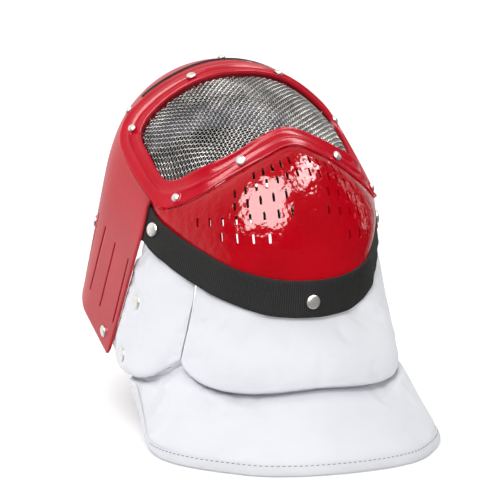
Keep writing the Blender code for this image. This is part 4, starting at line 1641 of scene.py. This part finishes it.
@dataclass
class Strap:
    """Webbing loop round the guard and behind the head."""

    per_gap: int = 8
    bands: int = 8
    wall: float = 0.0020
    inset: float = 0.0045
    half: float = 0.0145
    back_up: float = 0.154
    back_reach: float = 0.036
    back_steps: int = 8
    ripple: float = 0.0004
    ripple_turns: tuple[float, float] = (0.9, 0.23)
    sag: float = 0.0003
    rounding: float = 0.0006
    stations: tuple[float, ...] = (0.006, -0.014, -0.034, -0.054, -0.072, -0.088, -0.100)

    def edges(self) -> tuple[Row, Row]:
        """Return the loop's two edges, from the chin to behind the head.

        Returns:
            The upper and the lower edge.
        """
        top, low, _ = strap_edges(self.per_gap)
        top.reverse()
        low.reverse()
        shrink = self.inset / HELM.half
        start, rear = mix(top[-1], low[-1], 0.5), self.stations[-1]
        tail = [[top[-1], low[-1]]]
        for station in self.stations:
            share = clamp((start.y - station) / (start.y - rear))
            middle = start.z + (self.back_up - start.z) * share
            tail.append([HELM.spot((middle + half - HELM.ear_up) / HELM.unit, station, shrink)
                         for half in (self.half, -self.half)])
        last = HELM.spot((self.back_up - HELM.ear_up) / HELM.unit, rear, shrink)
        for step in range(1, self.back_steps + 1):
            angle = math.pi / 2 * step / self.back_steps
            side = last.x * math.cos(angle) if step < self.back_steps else 0.0
            forward = last.y - self.back_reach * math.sin(angle)
            tail.append([Vector((side, forward, self.back_up + half))
                         for half in (self.half, -self.half)])
        run = smooth(tail, 4)[1:]
        return top + [row[0] for row in run], low + [row[1] for row in run]

    def surface(self) -> Grid:
        """Return the outer surface of one half of the loop.

        Returns:
            Rows of spots, from the upper edge to the lower one.
        """
        top, low = self.edges()
        fast, slow = self.ripple_turns
        grid: Grid = []
        for band in range(self.bands + 1):
            share = band / self.bands
            row = []
            for index, (upper, lower) in enumerate(zip(top, low)):
                wave = math.sin(index * fast) * math.sin(index * slow) * self.ripple
                sag = 4 * share * (1 - share) * self.sag
                normal = outward(slope(top, index), lower - upper, upper)
                row.append(mix(upper, lower, share) + normal * (wave * share - sag))
            grid.append(row)
        return grid

    def build(self, material: Material) -> Piece:
        """Lay the loop and dress it.

        Args:
            material: its finish.

        Returns:
            The strap.
        """
        strap = walled("strap_web", self.surface(), self.wall, merge=True)
        crisp(softened(strap, self.rounding, 2), 50.0)
        return settle(strap, material, Slot.WEBBING.value, "chin_strap")


@dataclass
class CrownTrim:
    """Thin dark band over the crown."""

    clear: float = 0.0002
    reach: float = 0.004

    def lay_down(self, trim: Piece, shell: BVHTree) -> None:
        """Lower the band until it lies on the shell.

        Args:
            trim: the band.
            shell: the shell's surface.
        """
        spots = [v.co.copy() for v in trim.data.vertices]
        found = [shell.find_nearest(spot) for spot in spots]
        for vert, spot, (near, _, _, distance) in zip(trim.data.vertices, spots, found):
            free = min(nearest[3] for nearest, other in zip(found, spots)
                       if (other - spot).length < self.reach)
            drop = max(0.0, free - self.clear)
            vert.co = spot + (near - spot) * (drop / max(distance, 1e-6))

    def build(self, material: Material, shell: Piece) -> Piece:
        """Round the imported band, lay it on the shell and dress it.

        Args:
            material: its finish.
            shell: the shell it lies on.

        Returns:
            The band.
        """
        trim = subdivided(cad_copy("crown_trim", "crown_strap", 0.5))
        self.lay_down(trim, tree_of(shell))
        return settle(trim, material, Slot.WEBBING.value, "crown_strap")


@dataclass
class SoftPad:
    """A padded piece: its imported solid, drawn in at its rim and blown up."""

    name: str
    node: str
    fill: float
    crease: float
    rim: float = 0.0
    widen: float = 1.0
    cap: float = 0.0020
    pressure: float = 3.0
    slack: float = -0.02
    skin: float = 0.0001
    across_rim: float = 0.0068
    crease_over: float = 22.0
    seam_over: float = 30.0
    rim_over: float = 45.0
    centre: Vector = field(default_factory=lambda: place(BIB_CENTRE))
    piece: Piece | None = None

    def draw_in(self, form: Form) -> None:
        """Pull the outer face's rim in towards the seam behind it.

        Args:
            form: the pad's form before it is rounded.
        """
        sharp = {e for e in form.edges if e.calc_face_angle(0.0) > math.radians(self.rim_over)}
        rungs = set()
        for face in form.faces:
            edges = list(face.edges)
            if len(edges) != 4:
                continue
            for first in (0, 1):
                rails, steps = edges[first::2], edges[1 - first::2]
                if (all(e in sharp for e in rails)
                        and all(e.calc_length() < self.across_rim for e in steps)):
                    rungs.update(steps)
        moved = {}
        for rung in rungs:
            inner, outer = sorted(rung.verts, key=lambda v: (v.co - self.centre).length)
            moved[outer] = outer.co + (inner.co - outer.co) * self.rim
        for vert, spot in moved.items():
            vert.co = spot
        for vert in form.verts:
            vert.co.x *= self.widen

    def dress(self, material: Material, slot: Slot) -> Piece:
        """Cut the rounded pad and dress it.

        Args:
            material: its finish.
            slot: the record's material slot.

        Returns:
            The pad, before it is blown up.
        """
        self.piece = cad_copy(self.name, self.node, self.crease, self.crease_over)
        form = opened(self.piece)
        self.draw_in(form)
        subdivided(written(form, self.piece))
        settle(self.piece, material, slot.value, self.node)
        return self.piece

    def blow(self) -> None:
        """Give the pad its cloth and filling, held at its seams."""
        form = opened(self.piece)
        seam = {v.index for edge in form.edges for v in edge.verts
                if edge.calc_face_angle(0.0) > math.radians(self.seam_over)}
        form.free()
        self.piece.vertex_groups.new(name="seam").add(sorted(seam), 1.0, "REPLACE")
        cloth = self.piece.modifiers.new("cloth", "CLOTH")
        for key, value in {
                "quality": 6, "mass": 0.25, "tension_stiffness": 12.0,
                "compression_stiffness": 6.0, "shear_stiffness": 4.0, "bending_stiffness": 0.6,
                "air_damping": 6.0, "use_pressure": True, "shrink_min": self.slack,
                "uniform_pressure_force": self.pressure, "vertex_group_mass": "seam"}.items():
            setattr(cloth.settings, key, value)
        cloth.settings.effector_weights.gravity = 0.0
        cloth.collision_settings.use_collision = False
        cloth.collision_settings.use_self_collision = False

    def gather(self, near: BVHTree) -> None:
        """Take the blown form, no further than the cap or half-way to a neighbour.

        Args:
            near: the surfaces of the hard neighbours.
        """
        moved = [v.co.copy() for v in evaluated(self.piece)[0].data.vertices]
        self.piece.modifiers.clear()
        self.piece.vertex_groups.clear()
        for vert, end in zip(self.piece.data.vertices, moved):
            start = vert.co.copy()
            shift = end - start
            free = near.find_nearest(start)[3]
            most = min(self.cap, max(0.0, free * 0.5 - self.skin))
            if shift.length > most:
                shift *= most / shift.length
            vert.co = start + shift
        self.piece.data.update()


def blow_all(pads: list[SoftPad], near: BVHTree, steps: int = 18) -> None:
    """Run the cloth of every pad together, then take the result.

    Args:
        pads: the pads.
        near: the surfaces of their hard neighbours.
        steps: frames that the cloth runs.
    """
    for pad in pads:
        pad.blow()
    for step in range(1, steps + 1):
        bpy.context.scene.frame_set(step)
    for pad in pads:
        pad.gather(near)
    bpy.context.scene.frame_set(1)


@dataclass
class Bib:
    """Padded bib: throat pad, skirt and side flaps, with its bound hem."""

    padding: float = 0.0046
    tape: float = 0.0009
    tape_leg: float = 0.0044
    tape_clear: float = 0.0002
    tape_from: int = 2
    per_gap: int = 8
    rear_steps: int = 24
    rear_from: int = 9
    stitch: float = 0.0030
    stitch_pitch: float = 0.0044
    stitch_thick: float = 0.00075
    stitch_from: float = 0.0020
    stitch_in: float = 0.62
    stitch_flat: float = 0.38
    allowance_wall: float = 0.0012
    allowance: tuple[tuple[float, float], ...] = (
        (0.0085, -0.0045), (0.0070, 0.0000), (0.0056, 0.0045), (0.0050, 0.0090))
    pads: list[SoftPad] = field(default_factory=lambda: [
        SoftPad("throat_pad", "bib_upper_tier", 0.45, 0.8, rim=0.2, widen=1.007),
        SoftPad("skirt_pad", "bib_lower_tier", 0.40, 0.9),
        SoftPad("flap_pad_left", "bib_flap_left", 0.45, 0.9),
        SoftPad("flap_pad_right", "bib_flap_right", 0.45, 0.9),
    ])

    def edge_path(self, rear_from: int) -> list[tuple[Vector, Vector, Vector]]:
        """Follow the skirt's free edge.

        Args:
            rear_from: the step on the rear edge at which the path starts.

        Returns:
            Core spot, direction away from the cloth and cloth normal for
            each station, from the rear edge to the middle of the hem.
        """
        stations = smooth([row.spots() for row in HEM_ROWS], self.per_gap)

        def spot(index: int, share: float) -> Vector:
            """Return the skirt's spot at a station and share."""
            top, hem, lift = stations[index]
            return mix(top, hem, share) + Vector((0.0, 0.0, lift.x * math.sin(math.pi * share)))

        rear = [i / self.rear_steps for i in range(rear_from, self.rear_steps)]
        both = [(spot(0, share), spot(self.tape_from, share)) for share in rear]
        both += [(spot(i, 1.0), spot(i, 0.9)) for i in range(self.tape_from, len(stations))]
        line = [edge for edge, _ in both]
        path = []
        for index, (edge, partner) in enumerate(both):
            along = slope(line, index)
            away = edge - partner
            normal = outward(along, away, edge, BIB_CENTRE)
            away = away - along * away.dot(along)
            away -= normal * away.dot(normal)
            if abs(edge.x) < ON_MIDDLE:
                away.x = 0.0
            path.append((edge - normal * (self.padding / 2), away.normalized(), normal))
        return path

    def make_allowance(self, material: Material) -> Piece:
        """Turn the skirt's seam allowance up behind the throat pad.

        Args:
            material: its finish.

        Returns:
            The allowance.
        """
        rows = [[Vector(row[:3]), Vector((0.0, *row[1:3]))] for row in HEM_ROWS[1:]]
        seam = [row[0] for row in smooth(rows, self.per_gap)]
        grid: Grid = []
        for inward, up in self.allowance:
            ways = [Vector((top.x, top.y - BIB_CENTRE.y, 0.0)).normalized() for top in seam]
            grid.append([top - way * inward + Vector((0.0, 0.0, up))
                         for top, way in zip(seam, ways)])
        strip = baked(walled("seam_allowance", grid, self.allowance_wall, centre=BIB_CENTRE))
        return settle(strip, material, Slot.BIB_CLOTH.value)

    def tape_section(self) -> list[tuple[float, float]]:
        """Return the folded tape's closed section as away and normal lengths.

        Returns:
            Pairs of lengths, the last the same as the first.
        """
        half = self.padding / 2 + self.tape_clear
        out = half + self.tape
        upper = [
            (-self.tape_leg, half), (-self.tape_leg, out * 0.97),
            (-self.tape_leg * 0.5, out * 1.02), (0.0, out), (0.0014, out * 0.92),
            (0.0029, out * 0.62), (0.0036, out * 0.22),
        ]
        inner = [(-0.0004, -half), (0.0008, -half * 0.55), (0.0008, half * 0.55),
                 (-0.0004, half)]
        return upper + [(a, -n) for a, n in reversed(upper)] + inner + upper[:1]

    def make_tape(self, material: Material) -> Piece:
        """Fold the binding tape over the skirt's edge.

        Args:
            material: its finish.

        Returns:
            The tape.
        """
        path = self.edge_path(self.rear_from)
        form = laid(both_sides([[core + away * a + normal * n for core, away, normal in path]
                                for a, n in self.tape_section()]))
        bmesh.ops.remove_doubles(form, verts=form.verts, dist=1e-6)
        bmesh.ops.holes_fill(form, edges=[e for e in form.edges if e.is_boundary], sides=0)
        bmesh.ops.recalc_face_normals(form, faces=form.faces)
        tape = crisp(new_piece("hem_tape", form), 60.0)
        return settle(tape, material, Slot.BIB_CLOTH.value, "hem_binding")

    def make_stitches(self, material: Material) -> Piece:
        """Sew a line of stitches along the tape.

        Args:
            material: its finish.

        Returns:
            The stitches, as one piece.
        """
        path = self.edge_path(self.rear_steps)
        path += [tuple(map(across, station)) for station in reversed(path[:-1])]
        height = self.padding / 2 + self.tape_clear + self.tape * 1.02
        line = [core - away * (self.tape_leg * self.stitch_in) + normal * height
                for core, away, normal in path]
        size = Matrix.Diagonal((self.stitch / 2, self.stitch_thick * self.stitch_flat,
                                self.stitch_thick / 2, 1.0))
        form = bmesh.new()
        left = self.stitch_from
        for start, end, (_, _, normal) in zip(line, line[1:], path):
            along = (end - start).normalized()
            turn = turned(aimed(along), aimed(normal), aimed(along.cross(normal)))
            while left < (end - start).length:
                matrix = Matrix.Translation(place(start + along * left)) @ turn @ size
                bmesh.ops.create_icosphere(form, subdivisions=2, radius=1.0, matrix=matrix)
                left += self.stitch_pitch
            left -= (end - start).length
        bmesh.ops.recalc_face_normals(form, faces=form.faces)
        return settle(new_piece("hem_stitches", form), material, Slot.BIB_CLOTH.value)

    def build(self, cotton: Material, binding: Material, thread: Material) -> list[Piece]:
        """Cut the pads, bind the hem and sew it.

        Args:
            cotton: finish of the pads.
            binding: finish of the tape, darker than the pads as painted shade along the hem.
            thread: finish of the stitches, greyed as painted shade.

        Returns:
            The tape and the stitches, which the pads keep clear of.
        """
        for pad in self.pads:
            pad.dress(cotton, Slot.BIB_CLOTH)
        self.make_allowance(cotton)
        return [self.make_tape(binding), self.make_stitches(thread)]


@dataclass
class Lining:
    """Liner under the crown, near black partly as painted shade, and the pale band over the brow.
    """

    pads: list[SoftPad] = field(default_factory=lambda: [
        SoftPad("crown_lining", "head_liner", 0.2, 0.3, cap=0.0008, pressure=1.0,
                centre=place(HEAD_CENTRE)),
        SoftPad("brow_band", "brow_pad", 0.6, 0.2, cap=0.0012, pressure=2.0,
                centre=place(HEAD_CENTRE)),
    ])

    def build(self, dark: Material, pale: Material) -> None:
        """Cut both pads and dress them."""
        self.pads[0].dress(dark, Slot.LINER)
        self.pads[1].dress(pale, Slot.BROW_CLOTH)


@dataclass
class Rivets:
    """Domed caps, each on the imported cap's place and axis."""

    sides: int = 32
    dome_points: int = 7
    height: float = 0.0024
    edge: float = 0.0005
    foot: float = 0.97

    def cap(self, node: str) -> Piece:
        """Turn one cap round its axis.

        Args:
            node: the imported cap.

        Returns:
            The cap.
        """
        centre, axis, radius = seat(node)
        outline = [Vector((0.0, 0.0, self.height))]
        for step in range(1, self.dome_points + 1):
            angle = math.pi / 2 * step / self.dome_points
            up = self.edge + (self.height - self.edge) * math.cos(angle)
            outline.append(Vector((radius * math.sin(angle), 0.0, up)))
        outline += [Vector((radius * self.foot, 0.0, 0.0)), Vector()]
        form = bmesh.new()
        verts = [form.verts.new(spot) for spot in outline]
        edges = [form.edges.new(pair) for pair in zip(verts, verts[1:])]
        bmesh.ops.spin(form, geom=verts + edges, cent=(0, 0, 0), axis=(0, 0, 1),
                       dvec=(0, 0, 0), angle=2 * math.pi, steps=self.sides,
                       use_merge=True, use_duplicate=False)
        closed(form).transform(upright(centre, axis))
        return crisp(new_piece(node.replace("rivet_", "cap_"), form), 50.0)

    def build(self, material: Material) -> list[Piece]:
        """Make every cap."""
        return [settle(self.cap(node), material, Slot.NICKEL.value, node)
                for node in sorted(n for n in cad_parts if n.startswith("rivet_"))]


# ------------------------------------------------------------------ studio
@dataclass(frozen=True)
class SoftBox:
    """A square soft light that faces a spot on the part and only shines."""

    name: str
    aim: tuple[float, float, float]
    toward: tuple[float, float, float]
    width: float
    height: float
    radiance: float
    away: float = 1.3

    def build(self) -> None:
        """Hang the light."""
        lamp = bpy.data.lights.new(self.name, "AREA")
        lamp.shape = "RECTANGLE"
        lamp.size = self.width
        lamp.size_y = self.height
        lamp.energy = self.radiance * math.pi * self.width * self.height
        direction = Vector(self.toward).normalized()
        spot = Vector(self.aim) + direction * self.away
        linked(self.name, lamp, upright(spot, direction)).visible_diffuse = False


@dataclass(frozen=True)
class SoftSun:
    """Even light from one direction, for the forms and the floor."""

    name: str
    toward: tuple[float, float, float]
    strength: float
    spread: float
    away: float = 3.0

    def build(self) -> None:
        """Hang the light."""
        lamp = bpy.data.lights.new(self.name, "SUN")
        lamp.energy = self.strength
        lamp.angle = math.radians(self.spread)
        direction = Vector(self.toward).normalized()
        linked(self.name, lamp, upright(direction * self.away, direction)).visible_glossy = False


@dataclass
class Studio:
    """Floor, soft lights, surroundings and the camera."""

    turn: float = 24.0
    scale: float = 0.063
    pitch: float = 9.6
    target_up: float = 0.1396
    distance: float = 2.131
    half_tangent: float = 250 / 2600
    floor_half: float = 16.0
    floor_clear: float = 0.0015
    front_world: float = 0.02
    back_world: float = 1.10
    bright_side: tuple[float, float, float] = (-0.38, 0.90, 0.15)
    lights: tuple[SoftBox | SoftSun, ...] = (
        SoftBox("chin_box", (-0.034, -0.172, -0.087), (-0.36, -0.64, 0.68), 1.06, 1.20, 16.0),
        SoftBox("nose_box", (0.003, -0.165, -0.066), (0.50, -0.22, 0.84), 1.10, 0.32, 18.0),
        SoftBox("right_strip", (0.045, -0.167, -0.090), (0.94, 0.20, 0.22), 0.14, 0.80, 2.0),
        SoftSun("key", (-0.45, -0.54, 0.75), 1.65, 30.0),
        SoftSun("fill", (0.60, -0.70, 0.35), 0.90, 60.0),
        SoftSun("over", (0.05, 0.25, 0.95), 1.0, 60.0),
    )

    def make_camera(self) -> None:
        """Set the camera at the photograph's angle."""
        turn = math.radians(self.turn)
        pitch = math.radians(self.pitch)
        first = Vector((math.cos(turn), self.scale * math.cos(turn), -math.sin(turn))).normalized()
        up = Vector((0.0, 1.0, 0.0))
        second = (up - first * up.dot(first)).normalized()
        third = first.cross(second)
        rise = second * math.cos(pitch) + third * math.sin(pitch)
        front = third * math.cos(pitch) - second * math.sin(pitch)
        axes = [Vector((first[i], -front[i], rise[i])) for i in range(3)]
        lens = bpy.data.cameras.new("camera")
        lens.sensor_width = 36.0
        lens.angle = 2 * math.atan(self.half_tangent)
        lens.clip_end = 100.0
        matrix = turned(*axes)
        matrix.translation = (place(Vector((0.0, 0.0, self.target_up)))
                              + axes[2] * self.distance)
        bpy.context.scene.camera = linked("camera", lens, matrix)

    def make_floor(self) -> None:
        """Lay the pale floor at the bib's hem."""
        form = bmesh.new()
        low = Matrix.Translation((0, 0, -SEAT_UP - self.floor_clear))
        bmesh.ops.create_grid(form, x_segments=8, y_segments=8, size=self.floor_half, matrix=low)
        floor = new_piece("floor", form)
        floor.data.materials.append(StudioPaper().material())
        floor.visible_glossy = False

    def make_world(self) -> None:
        """Make surroundings that are darker in front than behind."""
        world = bpy.data.worlds.new("studio")
        world.use_nodes = True
        sheet = NodeSheet(world.node_tree)
        side, forward, up = sheet.axes(sheet.node("TexCoord", out="Generated"))
        bright = Vector(self.bright_side).normalized()
        facing = side * bright.x + forward * bright.y + up * bright.z
        background = world.node_tree.nodes["Background"]
        sheet.feed(background.inputs["Color"], (1.0, 1.0, 1.0))
        sheet.feed(background.inputs["Strength"],
                   facing.over(0.0, 0.8) * (self.back_world - self.front_world)
                   + self.front_world)
        bpy.context.scene.world = world

    def build(self) -> None:
        """Set up the whole studio."""
        self.make_camera()
        self.make_floor()
        self.make_world()
        for light in self.lights:
            light.build()
        bpy.context.scene.view_settings.view_transform = "Standard"


def main() -> None:
    """Build and dress every piece of the mask."""
    logging.basicConfig(level=logging.INFO, format="%(message)s")
    bowl_red = MouldedPlastic("rippled_red_plastic", (0.50, 0.0, 0.007), (0.43, 0.0, 0.006),
                              0.13, 0.42, sink=0.0004, ripple=0.00085)
    # The ring's inner wall carries painted shade.
    ring_red = MouldedPlastic("glossy_red_plastic", (0.58, 0.001, 0.016), (0.48, 0.001, 0.014),
                              0.24, 0.25, painted_shade_wall=0.0052)
    satin_red = MouldedPlastic("satin_red_plastic", (0.52, 0.006, 0.018), (0.45, 0.005, 0.016),
                               0.42, 0.45, skin=0.00003)
    cotton = PaddedCloth("white_cotton", (0.765, 0.775, 0.81), (0.715, 0.725, 0.765))
    # Painted shade: the tape is coloured darker than the pads for the shade along the hem's lower
    # edge.
    binding = PaddedCloth("bound_edge_painted_shade", (0.69, 0.70, 0.73), (0.63, 0.64, 0.67))
    # Partly painted shade: the lining is coloured near black for the shade inside the mask.
    dark = NappedCloth("lining_and_painted_shade", (0.012, 0.012, 0.014), (0.005, 0.005, 0.006))
    pale = NappedCloth("blue_cloth", (0.070, 0.100, 0.200), (0.040, 0.055, 0.110))
    webbing = WovenWebbing().material()
    Studio().build()
    hard = [VisorFrame().build(ring_red.material()), WireCloth().build(DrawnWire().material()),
            ChinGuard().build(bowl_red.material()), Shell().build(satin_red.material()),
            Strap().build(webbing)]
    CrownTrim().build(webbing, hard[3])
    lining = Lining()
    lining.build(dark.material(), pale.material())
    bib = Bib()
    hard += bib.build(cotton.material(), binding.material(), SewingThread().material())
    caps = Rivets().build(NickelPlate().material())
    blow_all(bib.pads + lining.pads, tree_of(*caps, *hard))


if __name__ == "__main__":
    main()
